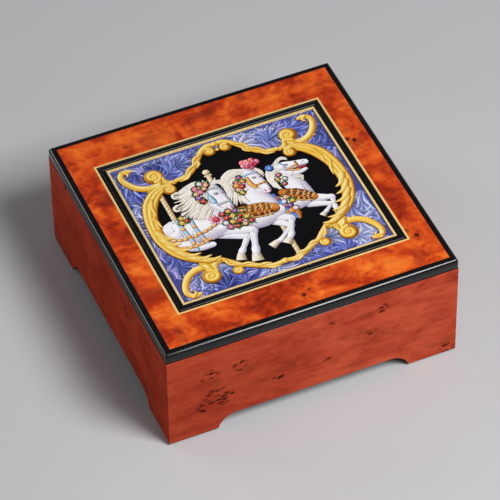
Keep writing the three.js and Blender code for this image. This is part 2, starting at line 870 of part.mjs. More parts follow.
// Worm: a right-hand thread swept round its shaft.
const lead = Math.PI * M_TRAIN;
function thread(z0, turns, coreR, crestR, steps) {
  const n = Math.round(turns * steps);
  const shape = [
    [coreR - 0.2, -0.32],
    [crestR, -0.14],
    [crestR, 0.14],
    [coreR - 0.2, 0.32],
  ];
  const points = [];
  for (let i = 0; i <= n; i++) {
    const a = (i / steps) * 2 * Math.PI;
    for (const [r, dz] of shape) {
      points.push(r * Math.cos(a), r * Math.sin(a), z0 + (i / steps) * lead + dz);
    }
  }
  const faces = [0, 1, 2, 0, 2, 3];
  for (let i = 0; i < n; i++) {
    for (let k = 0; k < 4; k++) {
      const a = i * 4 + k;
      const b = i * 4 + ((k + 1) % 4);
      faces.push(a, b + 4, b, a, a + 4, b + 4);
    }
  }
  const e = n * 4;
  faces.push(e, e + 2, e + 1, e, e + 3, e + 2);
  const g = new THREE.BufferGeometry()
    .setAttribute("position", new THREE.Float32BufferAttribute(points, 3))
    .setIndex(faces);
  return solid(g);
}
const WORM_TURNS = 4.5;
const WORM_STEPS = 12;
// Half a lead above or below the axis where the thread faces the wheel, so that it lies in a tooth gap.
const wormStart = CYL_Z - 2.5 * lead + 0.25 * lead;
add(
  "worm",
  join(
    thread(0, WORM_TURNS, 1, 2.2, WORM_STEPS).translate([0, 0, wormStart]),
    rodZ(0, 0, 1, wormStart - 0.8, wormStart + WORM_TURNS * lead + 0.8, 12).rotate([0, 0, 15]),
    rodZ(0, 0, 0.6, 28.4, COCK_Z + 0.9, 12),
  ).translate([WORM_X, wormY, 0]),
  steel,
);
const FAN_Z = 39.6;
const FAN_H = 3.8;
const FAN_R = 5.5;
add(
  "fan",
  cut(
    join(
      block(-FAN_R, FAN_R, -0.25, 0.25, FAN_Z, FAN_Z + FAN_H),
      rodZ(0, 0, 1.5, FAN_Z, FAN_Z + FAN_H, 12),
    ),
    rodZ(0, 0, 0.6 + GAP, 0, HEIGHT, 12),
  ).translate([WORM_X, wormY, 0]),
  brass,
);

// Stop rod: stands up through the window under the lid, with an arm whose pad lies over the fan.
const armZ = FAN_Z + FAN_H + GAP;
add(
  "stop_rod",
  join(
    rodZ(ROD.x, ROD.y, ROD.r, plateZ + 0.5, liningUnder - GAP, 12),
    block(ROD.x - 0.7, ROD.x + 0.7, 57.6, ROD.y, armZ + 0.6, armZ + 1.8),
    block(ROD.x - 0.7, ROD.x + 0.7, 57.6, 60, armZ, armZ + 1),
  ),
  steel,
);

export default group;
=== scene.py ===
"""Looks of the musical jewellery box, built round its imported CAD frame.

Lengths in this file are millimetres, measured from the middle of the case at table height, and
become metres in the shared frame when a mesh is made.
"""

import math
import random

import bmesh
import bpy
import numpy as np
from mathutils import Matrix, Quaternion, Vector


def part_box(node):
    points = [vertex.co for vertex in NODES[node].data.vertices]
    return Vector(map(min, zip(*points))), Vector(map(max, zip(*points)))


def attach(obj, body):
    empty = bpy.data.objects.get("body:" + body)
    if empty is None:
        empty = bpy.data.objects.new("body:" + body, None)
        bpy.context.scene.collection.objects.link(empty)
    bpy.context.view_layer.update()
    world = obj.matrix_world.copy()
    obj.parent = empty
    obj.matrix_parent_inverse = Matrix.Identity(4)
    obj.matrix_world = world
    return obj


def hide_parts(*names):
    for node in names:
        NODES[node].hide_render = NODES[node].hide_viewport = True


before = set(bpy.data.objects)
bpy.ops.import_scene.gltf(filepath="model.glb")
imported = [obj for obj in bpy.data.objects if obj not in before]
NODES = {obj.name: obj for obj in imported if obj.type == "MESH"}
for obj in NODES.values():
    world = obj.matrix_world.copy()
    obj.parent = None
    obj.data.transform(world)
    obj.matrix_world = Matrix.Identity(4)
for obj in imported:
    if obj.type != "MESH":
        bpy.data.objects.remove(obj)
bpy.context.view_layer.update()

SCENE = bpy.context.scene
MM = 0.001


def box_mm(node):
    """A CAD node's corners in this file's millimetres."""
    lo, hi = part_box(node)
    shift = Vector((0, CASE_Y, 0))
    return (lo - shift) / MM, (hi - shift) / MM


CASE_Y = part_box("front_wall")[0].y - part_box("left_wall")[0].x  # the case's middle in the frame
HALF = -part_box("left_wall")[0].x / MM
WALL_BOX = box_mm("left_wall")
WALL = WALL_BOX[1].x - WALL_BOX[0].x
INNER = HALF - WALL
FOOT_Z, RIM = WALL_BOX[0].z, WALL_BOX[1].z
LID_UNDER, TOP = box_mm("lid_edge_front")[0].z, box_mm("lid_edge_front")[1].z
EDGE = box_mm("lid_edge_front")[1].y - box_mm("lid_edge_front")[0].y
RECESS = TOP - 2.0
FLOOR = box_mm("floor_panel")
HINGES = [(side, sum(c.x for c in box_mm(f"hinge_pin_{side}")) / 2) for side in ("left", "right")]

# ------------------------------------------------------------------ camera, floor and light
CAMERA_AT = Vector((-535.7, -1276.7, 1412.0 + TOP))
AZIMUTH, ELEVATION, ROLL = -22.74, 46.34, 1.07
LENS, SENSOR = 250.0, 36.0


def make_camera():
    data = bpy.data.cameras.new("camera")
    data.lens, data.sensor_width = LENS, SENSOR
    data.clip_start, data.clip_end = 0.05, 50
    camera = bpy.data.objects.new("camera", data)
    SCENE.collection.objects.link(camera)
    a, e = math.radians(AZIMUTH), math.radians(ELEVATION)
    ahead = Vector((-math.sin(a) * math.cos(e), math.cos(a) * math.cos(e), -math.sin(e)))
    camera.rotation_mode = "QUATERNION"
    camera.rotation_quaternion = ahead.to_track_quat("-Z", "Y") @ Quaternion(
        (0, 0, 1), -math.radians(ROLL)
    )
    camera.location = CAMERA_AT * MM + Vector((0, CASE_Y, 0))
    SCENE.camera = camera


def area_light(name, at, aim, size, power, color=(1, 1, 1)):
    data = bpy.data.lights.new(name, "AREA")
    data.shape, data.size, data.size_y = "RECTANGLE", size[0], size[1]
    data.energy, data.color = power, color
    light = bpy.data.objects.new(name, data)
    light.location = at
    light.rotation_euler = (Vector(aim) - Vector(at)).to_track_quat("-Z", "Y").to_euler()
    SCENE.collection.objects.link(light)


# ------------------------------------------------------------------ materials
class Nodes:
    """A material's node tree, with short calls for the nodes that this file uses."""

    def __init__(self, name, **sockets):
        self.material = bpy.data.materials.new(name)
        self.material.use_nodes = True
        self.tree = self.material.node_tree
        self.shader = self.tree.nodes["Principled BSDF"]
        for socket, value in sockets.items():
            self.shader.inputs[socket.replace("_", " ")].default_value = value

    def add(self, kind, inputs=None, **settings):
        node = self.tree.nodes.new(f"ShaderNode{kind}")
        for key, value in settings.items():
            setattr(node, key, value)
        for socket, value in (inputs or {}).items():
            self.set(node.inputs[socket], value)
        return node

    def set(self, socket, value):
        if isinstance(value, bpy.types.NodeSocket):
            self.tree.links.new(value, socket)
        else:
            socket.default_value = value

    def put(self, socket, value):
        self.set(self.shader.inputs[socket], value)

    def coords(self, scale=(1, 1, 1), turn=(0, 0, 0), source="Object"):
        """Object coordinates in centimetres, times scale."""
        at = self.add("TexCoord").outputs[source]
        factor = 100 if source == "Object" else 1
        return self.add(
            "Mapping",
            {"Vector": at, "Rotation": turn, "Scale": tuple(factor * s for s in scale)},
        ).outputs[0]

    def noise(self, at, scale, detail=2.0, rough=0.5, twist=0.0):
        return self.add(
            "TexNoise",
            {"Vector": at, "Scale": scale, "Detail": detail, "Roughness": rough, "Distortion": twist},
        ).outputs

    def maths(self, operation, a, b=0.5, c=0.0):
        return self.add("Math", {0: a, 1: b, 2: c}, operation=operation).outputs[0]

    def ranged(self, value, low, high, to_low=0.0, to_high=1.0):
        return self.add(
            "MapRange", {0: value, 1: low, 2: high, 3: to_low, 4: to_high}, clamp=True
        ).outputs[0]

    def ramp(self, value, *stops):
        node = self.add("ValToRGB", {0: value})
        elements = node.color_ramp.elements
        while len(elements) < len(stops):
            elements.new(0.5)
        for element, (at, color) in zip(elements, stops):
            element.position, element.color = at, (*color, 1)
        return node.outputs[0]

    def mix(self, share, a, b, blend="MIX"):
        node = self.add("Mix", data_type="RGBA", blend_type=blend)
        for socket, value in ((0, share), (6, a), (7, b)):
            if isinstance(value, tuple) and len(value) == 3:
                value = (*value, 1)
            self.set(node.inputs[socket], value)
        return node.outputs[2]

    def distance(self, x, y, z):
        """How far each point lies from one given in millimetres, in metres."""
        at = self.add("TexCoord").outputs["Object"]
        spot = (x * MM, y * MM + CASE_Y, z * MM)
        return self.add("VectorMath", {0: at, 1: spot}, operation="DISTANCE").outputs["Value"]

    def bump(self, height, strength, depth):
        """Bump whose depth is in millimetres."""
        node = self.add("Bump", {"Height": height, "Strength": strength, "Distance": depth * MM})
        self.put("Normal", node.outputs[0])


def burl(
    name, stretch, colors, eye_spots=(), eye_share=0.5, streaks=0.2, coat=0.9, eyes=2.6, painted_shade=None,
    sheen=(0.12, 1.36),
):
    """Lacquered burl veneer: a clouded, swirling figure with fine grain and dark eyes."""
    n = Nodes(name, Specular_IOR_Level=sheen[0], Coat_Weight=coat, Coat_Roughness=0.08, Coat_IOR=sheen[1])
    at = n.coords(stretch)
    warp = n.noise(at, 0.4, 2.0)[1]
    bent = n.mix(0.45, at, warp, "ADD")
    cloud = n.noise(bent, 0.34, 2.0, 0.5, 1.2)[0]
    figure = n.noise(bent, 1.05, 6.0, 0.56, 1.4)[0]
    streak = n.noise(
        n.coords((stretch[0] * 0.35, stretch[1] * 2.2, stretch[2] * 2.2), (0, 0, 0.25)), 1.1, 4.0, 0.55,
        0.6,
    )[0]
    fine = n.noise(n.coords((1.5, 5, 5)), 7.0, 3.0, 0.6)[0]
    blend = n.maths("MULTIPLY_ADD", cloud, 0.62, n.maths("MULTIPLY", figure, 0.38))
    blend = n.maths("MULTIPLY_ADD", n.maths("SUBTRACT", streak, 0.5), streaks, blend)
    blend = n.maths("MULTIPLY_ADD", n.maths("SUBTRACT", fine, 0.5), 0.07, blend)
    color = n.ramp(blend, *zip((0.34, 0.43, 0.5, 0.57, 0.68), colors))
    # Painted shade: up to 45 percent darker towards a given spot, fading out at reach millimetres from it.
    if painted_shade:
        shade_spot, reach = painted_shade
        color = n.mix(
            n.ranged(n.distance(*shade_spot), 0.0, reach * MM, 0.45, 0.0), color, (0.26, 0.024, 0.008),
        )
    # Smoky brown drifts.
    smoke = n.ranged(n.noise(bent, 0.62, 3.0, 0.55, 0.8)[0], 0.55, 0.7, 0.0, 0.42)
    color = n.mix(smoke, color, (0.2, 0.034, 0.012))
    # Eyes: small dark knots in clusters, each with a darker swirl round it.
    wander = n.noise(at, 2.4, 2.0)[1]
    knots = n.mix(0.2, at, wander, "ADD")
    cell = n.add("TexVoronoi", {"Vector": knots, "Scale": eyes, "Randomness": 1.0}, feature="F1")
    chosen = n.ranged(
        n.add("SeparateColor", {0: cell.outputs["Color"]}).outputs[0], eye_share, eye_share + 0.04,
    )
    cluster = n.ranged(n.noise(at, 0.33, 2.0, 0.5)[0], 0.64, 0.69)
    for spot, r in eye_spots:
        near = n.ranged(n.distance(*spot), 0.7 * r * MM, 1.1 * r * MM, 1.0, 0.0)
        cluster = n.maths("MAXIMUM", cluster, near)
    core = n.ranged(cell.outputs["Distance"], 0.3, 0.52, 1.0, 0.0)
    halo = n.ranged(cell.outputs["Distance"], 0.38, 0.85, 1.0, 0.0)
    strength = n.maths("MULTIPLY", chosen, cluster)
    color = n.mix(n.maths("MULTIPLY", n.maths("MULTIPLY", halo, strength), 0.4), color, (0.2, 0.016, 0.003))
    color = n.mix(
        n.maths("MULTIPLY", n.maths("MULTIPLY", core, strength), 0.88), color, (0.03, 0.004, 0.002),
    )
    n.put("Base Color", color)
    n.put("Roughness", n.ranged(figure, 0.3, 0.7, 0.42, 0.32))
    n.bump(n.noise(n.coords(), 1.2, 2.0)[0], 0.1, 0.04)
    return n.material


def lacquer(name, color, gloss=0.08):
    n = Nodes(name, Specular_IOR_Level=0.04, Coat_Weight=0.7, Coat_Roughness=gloss, Coat_IOR=1.42)
    cloud = n.noise(n.coords(), 3.0, 3.0)[0]
    n.put("Base Color", n.mix(n.ranged(cloud, 0.4, 0.8), color, tuple(c + 0.003 for c in color)))
    n.put("Roughness", n.ranged(cloud, 0.3, 0.7, 0.25, 0.35))
    return n.material


def inlay_wood():
    n = Nodes("boxwood", Roughness=0.3, Coat_Weight=1.0, Coat_Roughness=0.05)
    grain = n.noise(n.coords((3, 3, 3)), 5.0, 5.0, 0.65)[0]
    n.put(
        "Base Color",
        n.ramp(grain, (0.3, (0.75, 0.45, 0.12)), (0.6, (0.95, 0.7, 0.27)), (0.8, (1.0, 0.84, 0.44))),
    )
    n.bump(grain, 0.1, 0.03)
    return n.material


def velvet():
    n = Nodes("velvet", Roughness=0.95, Specular_IOR_Level=0.15, Sheen_Weight=0.75, Sheen_Roughness=0.35,
              Sheen_Tint=(0.9, 0.25, 0.32, 1))
    crush = n.noise(n.coords(), 0.9, 3.0, 0.55, 1.0)[0]
    pile = n.noise(n.coords(), 45.0, 3.0, 0.7)[0]
    tone = n.ramp(
        crush, (0.32, (0.055, 0.0018, 0.006)), (0.52, (0.115, 0.0045, 0.014)), (0.72, (0.2, 0.01, 0.026)),
    )
    n.put("Base Color", n.mix(n.ranged(pile, 0.35, 0.65, 0.0, 0.35), tone, (0.03, 0.001, 0.003)))
    n.bump(pile, 0.55, 0.25)
    return n.material


def metal(name, color, rough, grain=(1, 14, 14), mottle=0.12, bump=0.12):
    n = Nodes(name, Metallic=1.0)
    brushed = n.noise(n.coords(grain), 9.0, 4.0, 0.65)[0]
    patina = n.noise(n.coords(), 1.4, 4.0, 0.6)[0]
    dark = tuple(c * (1 - 2.2 * mottle) for c in color)
    n.put("Base Color", n.mix(n.ranged(patina, 0.35, 0.7), color, dark))
    n.put("Roughness", n.ranged(brushed, 0.3, 0.7, rough, rough + 0.16))
    n.bump(brushed, bump, 0.03)
    return n.material


def cast_metal():
    n = Nodes("die_cast_zinc", Metallic=1.0)
    grit = n.noise(n.coords(), 30.0, 3.0, 0.6)[0]
    wash = n.noise(n.coords(), 1.1, 3.0)[0]
    n.put("Base Color", n.mix(n.ranged(wash, 0.3, 0.7), (0.42, 0.43, 0.45), (0.3, 0.3, 0.31)))
    n.put("Roughness", n.ranged(grit, 0.3, 0.7, 0.36, 0.56))
    n.bump(grit, 0.35, 0.06)
    return n.material


def felt():
    n = Nodes("felt", Roughness=1.0, Sheen_Weight=0.4, Sheen_Roughness=0.6)
    fuzz = n.noise(n.coords(), 28.0, 4.0, 0.75)[0]
    n.put("Base Color", n.ramp(fuzz, (0.3, (0.004, 0.004, 0.004)), (0.7, (0.022, 0.021, 0.02))))
    n.bump(fuzz, 0.7, 0.2)
    return n.material


def board():
    n = Nodes("board", Specular_IOR_Level=0.3)
    grain = n.noise(n.coords((0.35, 5, 5)), 2.2, 6.0, 0.62, 0.5)[0]
    pores = n.noise(n.coords((1.2, 16, 16)), 5.0, 3.0, 0.6)[0]
    tone = n.ramp(
        grain, (0.3, (0.1, 0.042, 0.016)), (0.55, (0.2, 0.098, 0.04)), (0.75, (0.29, 0.155, 0.07)),
    )
    n.put("Base Color", n.mix(n.ranged(pores, 0.58, 0.72, 0.0, 0.6), tone, (0.05, 0.02, 0.008)))
    n.put("Roughness", n.ranged(grain, 0.3, 0.7, 0.62, 0.8))
    n.bump(grain, 0.3, 0.12)
    return n.material


def clear_sheet():
    n = Nodes("clear_sheet", Base_Color=(0.2, 0.24, 0.26, 1), Coat_Weight=0.4, Coat_Roughness=0.03)
    n.put("Roughness", n.ranged(n.noise(n.coords(), 1.2, 3.0)[0], 0.3, 0.7, 0.03, 0.08))
    n.put("Alpha", n.ranged(n.add("LayerWeight", {"Blend": 0.3}).outputs["Fresnel"], 0.0, 1.0, 0.035, 0.6))
    return n.material


def silvering():
    n = Nodes("silvering", Metallic=1.0)
    haze = n.noise(n.coords(), 0.6, 3.0)[0]
    n.put("Base Color", n.ramp(haze, (0.3, (0.86, 0.88, 0.89)), (0.7, (0.93, 0.94, 0.95))))
    n.put("Roughness", n.ranged(haze, 0.3, 0.7, 0.012, 0.03))
    return n.material


def painted():
    """Lacquered paint: the colours drawn on the mesh, with a little brushwork in them."""
    n = Nodes("painted", Specular_IOR_Level=0.15, Coat_Weight=0.5, Coat_Roughness=0.1, Coat_IOR=1.35)
    color = n.add("Attribute", attribute_name="paint").outputs["Color"]
    brush = n.noise(n.coords((1, 3, 1), (0, 0, 0.5)), 14.0, 3.0, 0.6)[0]
    shade = n.ranged(brush, 0.3, 0.7, 0.86, 1.12)
    grey = n.add("CombineColor", {0: shade, 1: shade, 2: shade}).outputs[0]
    n.put("Base Color", n.mix(1.0, color, grey, "MULTIPLY"))
    n.put("Roughness", n.ranged(brush, 0.3, 0.7, 0.42, 0.34))
    return n.material


FRONT_EYES = (
    ((-60, -HALF, 27), 9), ((-66, -HALF, 23), 6), ((-52, -HALF, 25), 5), ((-63, -HALF, 46), 6),
    ((-45, -HALF, 48), 5),
    ((-22, -HALF, 28), 4), ((42, -HALF, 56), 4), ((-HALF, -30, 52), 6),
)
TOP_TONES = (
    (0.26, 0.015, 0.002), (0.45, 0.034, 0.004), (0.63, 0.068, 0.007), (0.79, 0.118, 0.012),
    (0.92, 0.22, 0.025),
)
# Front and back wall tones: pinker and flatter than the top's, partly the veneer's own colour and partly a
# painted reflection of the pale surroundings.
WALL_TONES_WITH_REFLECTION = (
    (0.37, 0.04, 0.018), (0.46, 0.058, 0.026), (0.51, 0.071, 0.031), (0.56, 0.084, 0.037),
    (0.62, 0.1, 0.044),
)
# Left and right wall tones: the wall tones made darker and deeper red, as painted shade.
SIDE_TONES_SHADED = tuple((0.82 * r, 0.55 * g, 0.4 * b) for r, g, b in WALL_TONES_WITH_REFLECTION)
BURL_TOP = burl(
    "burl_top", (1.0, 1.0, 1.0), TOP_TONES, (((72, -62, TOP), 7), ((77, 24, TOP), 7), ((0, -76, TOP), 5)),
    0.62,
)
# Wall burl: its tones carry painted reflection, and it darkens towards a spot at the front wall's left end as
# painted shade.
BURL_WALL_PAINTED_LIGHT = burl(
    "burl_wall_painted_light", (0.8, 0.8, 1.6), WALL_TONES_WITH_REFLECTION, FRONT_EYES, 0.14, 0.26, 0.24, 2.7, ((-74, -HALF, 24), 95),
    (0.0, 1.22),
)
# Side-wall burl: the wall burl with painted shade in its tones.
BURL_SIDE_SHADED = burl(
    "burl_side_painted_shade", (0.8, 0.8, 1.6), SIDE_TONES_SHADED, FRONT_EYES, 0.22, 0.34, 0.24, 2.7, None, (0.0, 1.22),
)
BLACK = lacquer("black_lacquer", (0.004, 0.004, 0.005))
BLACK_SATIN = lacquer("black_satin", (0.004, 0.004, 0.005), 0.34)
CREAM_WOOD = inlay_wood()
VELVET = velvet()
BRASS = metal("brass", (0.8, 0.55, 0.22), 0.16)
BRASS_SATIN = metal("satin_brass", (0.6, 0.41, 0.17), 0.34, (1, 14, 14), 0.16)
BRASS_DULL = metal("brass_sheet", (0.66, 0.45, 0.19), 0.26, (10, 1, 10), 0.16)
STEEL = metal("ground_steel", (0.56, 0.57, 0.59), 0.2, (14, 1, 14))
ZINC = cast_metal()
FELT = felt()
BOARD = board()
CLEAR = clear_sheet()
SILVER = silvering()
PAINTED = painted()


# ------------------------------------------------------------------ mesh helpers
BOX_FACES = [(3, 2, 1, 0), (4, 5, 6, 7), (0, 1, 5, 4), (1, 2, 6, 5), (2, 3, 7, 6), (3, 0, 4, 7)]


def mesh_of(name, verts, faces):
    """A mesh from points in this file's millimetres."""
    mesh = bpy.data.meshes.new(name)
    mesh.from_pydata([(x * MM, y * MM + CASE_Y, z * MM) for x, y, z in verts], [], faces)
    return mesh


def in_scene(name, data):
    """A new object in the scene."""
    thing = bpy.data.objects.new(name, data)
    SCENE.collection.objects.link(thing)
    return thing


def evaluated(piece):
    """What a piece's modifiers make of its mesh."""
    graph = bpy.context.evaluated_depsgraph_get()
    return bpy.data.meshes.new_from_object(piece.evaluated_get(graph))


def add_piece(name, verts, faces, materials, body, slot, replaces=(), smooth=True, angle=35):
    """A new piece from points in this file's millimetres."""
    mesh = mesh_of(name, verts, faces)
    bm = bmesh.new()
    bm.from_mesh(mesh)
    bmesh.ops.remove_doubles(bm, verts=bm.verts, dist=1e-7)
    bmesh.ops.recalc_face_normals(bm, faces=bm.faces)
    bm.to_mesh(mesh)
    bm.free()
    return register(bpy.data.objects.new(name, mesh), materials, body, replaces, smooth, angle)


def register(piece, materials, body, replaces=(), smooth=True, angle=35):
    if piece.name not in SCENE.collection.objects:
        SCENE.collection.objects.link(piece)
    for material in materials if isinstance(materials, (list, tuple)) else [materials]:
        piece.data.materials.append(material)
    if smooth:
        piece.data.shade_smooth()
        piece.data.set_sharp_from_angle(angle=math.radians(angle))
    else:
        piece.data.shade_flat()
    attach(piece, body)
    if replaces:
        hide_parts(*replaces)
    return piece


def loft(rings, closed=False):
    """Points and faces of a skin over rings of equal length; closed joins the last to the first."""
    count, size = len(rings), len(rings[0])
    verts = [p for ring in rings for p in ring]
    faces = []
    for i in range(count if closed else count - 1):
        a, b = i * size, (i + 1) % count * size
        for k in range(size):
            m = (k + 1) % size
            faces.append((a + k, a + m, b + m, b + k))
    if not closed:
        faces.append(tuple(range(size))[::-1])
        faces.append(tuple(range((count - 1) * size, count * size)))
    return verts, faces


def frame_rings(half_x, half_y, profile, width_x, width_y, corner=0.0, steps=5):
    """Rings of a mitred border: each profile point is (share of the width in from outside, z)."""
    rings = []
    for sx, sy, start in ((1, 1, 0), (-1, 1, 90), (-1, -1, 180), (1, -1, 270)):
        for i in range(steps if corner else 1):
            a = math.radians(start + 90 * (i / (steps - 1) if corner else 0.5))
            ring = []
            for share, z in profile:
                dx, dy = share * width_x, share * width_y
                out = max(corner - max(dx, dy), 0.0)
                in_x, in_y = max(dx, corner), max(dy, corner)
                ring.append(
                    (
                        sx * (half_x - in_x) + out * math.cos(a),
                        sy * (half_y - in_y) + out * math.sin(a),
                        z,
                    )
                )
            rings.append(ring)
    return rings


def block(x0, x1, y0, y1, z0, z1):
    """Points and faces of a box."""
    corners = [(x, y, z) for z in (z0, z1) for x, y in ((x0, y0), (x1, y0), (x1, y1), (x0, y1))]
    return corners, BOX_FACES


def carve(piece, *shapes):
    """Cuts closed shapes out of a piece."""
    for verts, faces in shapes:
        cutter = in_scene("cutter", mesh_of("cutter", verts, faces))
        modifier = piece.modifiers.new("cut", "BOOLEAN")
        modifier.object, modifier.operation, modifier.solver = cutter, "DIFFERENCE", "EXACT"
        made = evaluated(piece)
        piece.modifiers.clear()
        piece.data = made
        bpy.data.objects.remove(cutter)


def soften(piece, width):
    """Eases a piece's edges with a bevel, in millimetres."""
    bevel = piece.modifiers.new("eased", "BEVEL")
    bevel.width, bevel.segments = width * MM, 2
    bevel.limit_method, bevel.angle_limit = "ANGLE", math.radians(30)
    bevel.harden_normals = False


def arc(cx, cy, r, a0, a1, steps):
    turn = [math.radians(a0 + (a1 - a0) * i / steps) for i in range(steps + 1)]
    return [(cx + r * math.cos(a), cy + r * math.sin(a)) for a in turn]


def turned_rings(cx, cy, profile, sides):
    """Rings of a turned shape: each profile point is (radius, z)."""
    turn = [2 * math.pi * i / sides for i in range(sides)]
    return [[(cx + r * math.cos(a), cy + r * math.sin(a), z) for a in turn] for r, z in profile]


# ------------------------------------------------------------------ case
ARCH_H, ARCH_R, FOOT_W = 9.0, 12.0, 30.0
MORTISE = 14.3  # half width of the room for a hinge leaf
CASE_LEAF_Y, LID_LEAF_Y = 82.3, 77.6  # front of the room for a leaf on the case and on the lid
LEAF_DEPTH = 1.3  # how far a case leaf is let in
LID_LEAF_TOP = LID_UNDER + 1.4  # top of the room for a lid leaf
GROOVE, PLAY = 3.0, 0.3  # depth of the floor's groove, and its play


def hinge_rooms(z0, z1, y0):
    return [block(x - MORTISE, x + MORTISE, y0, HALF + 9, z0, z1) for _, x in HINGES]


def case_walls():
    """The four veneered walls as one mitred shell with bracket feet."""
    sweep = math.degrees(math.acos(1 - ARCH_H / ARCH_R))
    top = FOOT_Z + ARCH_H
    x = HALF - FOOT_W - ARCH_R * math.sin(math.radians(sweep))
    under = arc(
        -x, top - ARCH_R, ARCH_R, 90 + sweep, 90, 14,
    ) + arc(x, top - ARCH_R, ARCH_R, 90, 90 - sweep, 14)
    verts, faces = [], []
    for turn in range(4):
        c, s = round(math.cos(turn * math.pi / 2)), round(math.sin(turn * math.pi / 2))
        base = len(verts)
        for depth in (0, WALL):
            end = HALF - depth
            outline = [(-end, FOOT_Z), *under, (end, FOOT_Z), (end, RIM), (-end, RIM)]
            verts += [(px * c + end * s, px * s - end * c, pz) for px, pz in outline]
        size = len(under) + 4
        faces.append(tuple(base + i for i in range(size)))
        faces.append(tuple(base + size + i for i in reversed(range(size))))
        for i in range(size):
            j = (i + 1) % size
            if i in (len(under) + 1, size - 1):  # the mitres, where the next wall joins on
                continue
            faces.append((base + i, base + size + i, base + size + j, base + j))
    piece = add_piece(
        "case_walls", verts, faces, [BURL_WALL_PAINTED_LIGHT, BURL_SIDE_SHADED, BLACK], "case", "burl_veneer",
        ["front_wall", "right_wall", "back_wall", "left_wall"],
    )
    groove, low, high = INNER + GROOVE, FLOOR[0].z - PLAY, FLOOR[1].z + PLAY
    ring = frame_rings(groove, groove, [(0, low), (0, high), (1, high), (1, low)], 5, 5)
    carve(piece, loft(ring, closed=True), *hinge_rooms(RIM - LEAF_DEPTH, TOP, CASE_LEAF_Y))
    for face in piece.data.polygons:
        out = max(abs(face.center.x), abs(face.center.y - CASE_Y)) > (HALF - 0.05) * MM
        veneered = out and abs(face.normal.z) < 0.5
        # Faces towards left and right take the side burl, which has painted shade.
        side = 1 if abs(face.normal.x) > 0.5 else 0
        face.material_index = side if veneered else 2
    piece.data.set_sharp_from_angle(angle=math.radians(30))
    soften(piece, 0.2)


def felt_feet():
    for name in ("front_left", "front_right", "back_right", "back_left"):
        lo, hi = box_mm(f"foot_felt_{name}")
        cx, cy, r = (lo.x + hi.x) / 2, (lo.y + hi.y) / 2, (hi.x - lo.x) / 2
        top = FOOT_Z - 0.02
        shares = [(0.3, 0.02), (0.9, 0), (1, 0.3), (0.99, 0.8), (0.93, top), (0.3, top)]
        rings = turned_rings(cx, cy, [(r * share, z) for share, z in shares], 32)
        add_piece(f"felt_pad_{name}", *loft(rings), FELT, "case", "black_felt", [f"foot_felt_{name}"])


# ------------------------------------------------------------------ lid
EASE = 0.8  # rounding of the lid's lower corner
TIGHT, BROAD = 1.6, 3.6  # radii of the lid's upper corner


def lid_shoulder():
    """The upper corner, from level to upright: tight, a broad shoulder near 40 degrees, then tight again."""
    shoulder = [(0.0, 0.0)]
    for turn in range(30):
        slope = 3 * turn + 1.5
        run = (BROAD if 32 < slope < 47 else TIGHT) * math.radians(3)
        x, z = shoulder[-1]
        shoulder.append((x + run * math.cos(math.radians(slope)), z - run * math.sin(math.radians(slope))))
    return shoulder


def flat_line(low, high):
    """Section of an inlaid line, with eased corners."""
    return [(0, low), (0, high - 0.05), (0.06, high), (0.94, high), (1, high - 0.05), (1, low)]


def bead_section(low):
    """Section of the picture's frame: a round bead between two flats."""
    crown = []
    for i in range(17):
        a = math.pi * i / 16
        crown.append((0.27 + 0.46 * (1 - math.cos(a)) / 2, TOP - 0.7 + 0.7 * math.sin(a)))
    side = [(0, low), (0, TOP - 0.03), (0.05, TOP), (0.18, TOP), (0.22, TOP - 0.2), (0.25, TOP - 0.7)]
    return side + crown + [(1 - share, z) for share, z in reversed(side)]


def lid_shell():
    """The edging, the veneered plate and the borders round the picture; gives the picture's half sizes."""
    shoulder = lid_shoulder()
    width = shoulder[-1][0]
    profile = [(1.0, LID_UNDER), (1.0, TOP)] + [((width - x) / EDGE, TOP + z) for x, z in shoulder]
    profile += [
        (0, LID_UNDER + EASE), (0.25 * EASE / EDGE, LID_UNDER + 0.25 * EASE), (EASE / EDGE, LID_UNDER),
    ]
    edging = add_piece(
        "lid_edging", *loft(frame_rings(HALF, HALF, profile, EDGE, EDGE, 1.3, 6), closed=True),
        BLACK, "lid", "black_lacquer", [f"lid_edge_{s}" for s in ("front", "right", "back", "left")],
        angle=50,
    )
    carve(edging, *hinge_rooms(0, LID_LEAF_TOP, LID_LEAF_Y))
    edging.data.set_sharp_from_angle(angle=math.radians(50))
    (out_x, out_y, _), (in_x, in_y, _) = (box_mm(f"{line}_line_inlay")[1] for line in ("outer", "inner"))
    panel = HALF - EDGE - 0.01
    plate = add_piece(
        "lid_plate", *block(-panel, panel, -panel, panel, LID_UNDER, TOP), [BURL_TOP, BLACK], "lid",
        "burl_veneer", ["lid_panel"], smooth=False,
    )
    under = box_mm("lid_lining")[1].x + 0.3
    carve(
        plate,
        block(-out_x - 0.01, out_x + 0.01, -out_y - 0.01, out_y + 0.01, RECESS, TOP + 1),
        block(-under, under, -under, under, 0, LID_UNDER + 2),
        *hinge_rooms(0, LID_LEAF_TOP, LID_LEAF_Y),
    )
    for face in plate.data.polygons:
        face.material_index = 0 if face.center.z > (TOP - 1.8) * MM else 1
    line_w, inner_w = 1.2, 1.3
    bx, by = out_x - line_w - 0.01, out_y - line_w - 0.01
    low = RECESS + 0.02
    for name, node, x, y, section, wide_x, wide_y, material, slot, angle in (
        ("outer_line", "outer_line_inlay", out_x, out_y, flat_line(low, TOP), line_w, line_w, CREAM_WOOD,
         "cream_inlay", 35),
        ("picture_bead", "picture_frame", bx, by, bead_section(low), bx - in_x - 0.01, by - in_y - 0.01,
         BLACK_SATIN, "black_lacquer", 40),
        ("inner_line", "inner_line_inlay", in_x, in_y, flat_line(low, TOP), inner_w, inner_w, CREAM_WOOD,
         "cream_inlay", 35),
    ):
        rings = frame_rings(x, y, section, wide_x, wide_y)
        add_piece(name, *loft(rings, closed=True), material, "lid", slot, [node], angle=angle)
    return in_x - inner_w - 0.02, in_y - inner_w - 0.02


# ------------------------------------------------------------------ picture: painted relief
def tones(dark, mid, light):
    return np.array([dark, mid, light], float)


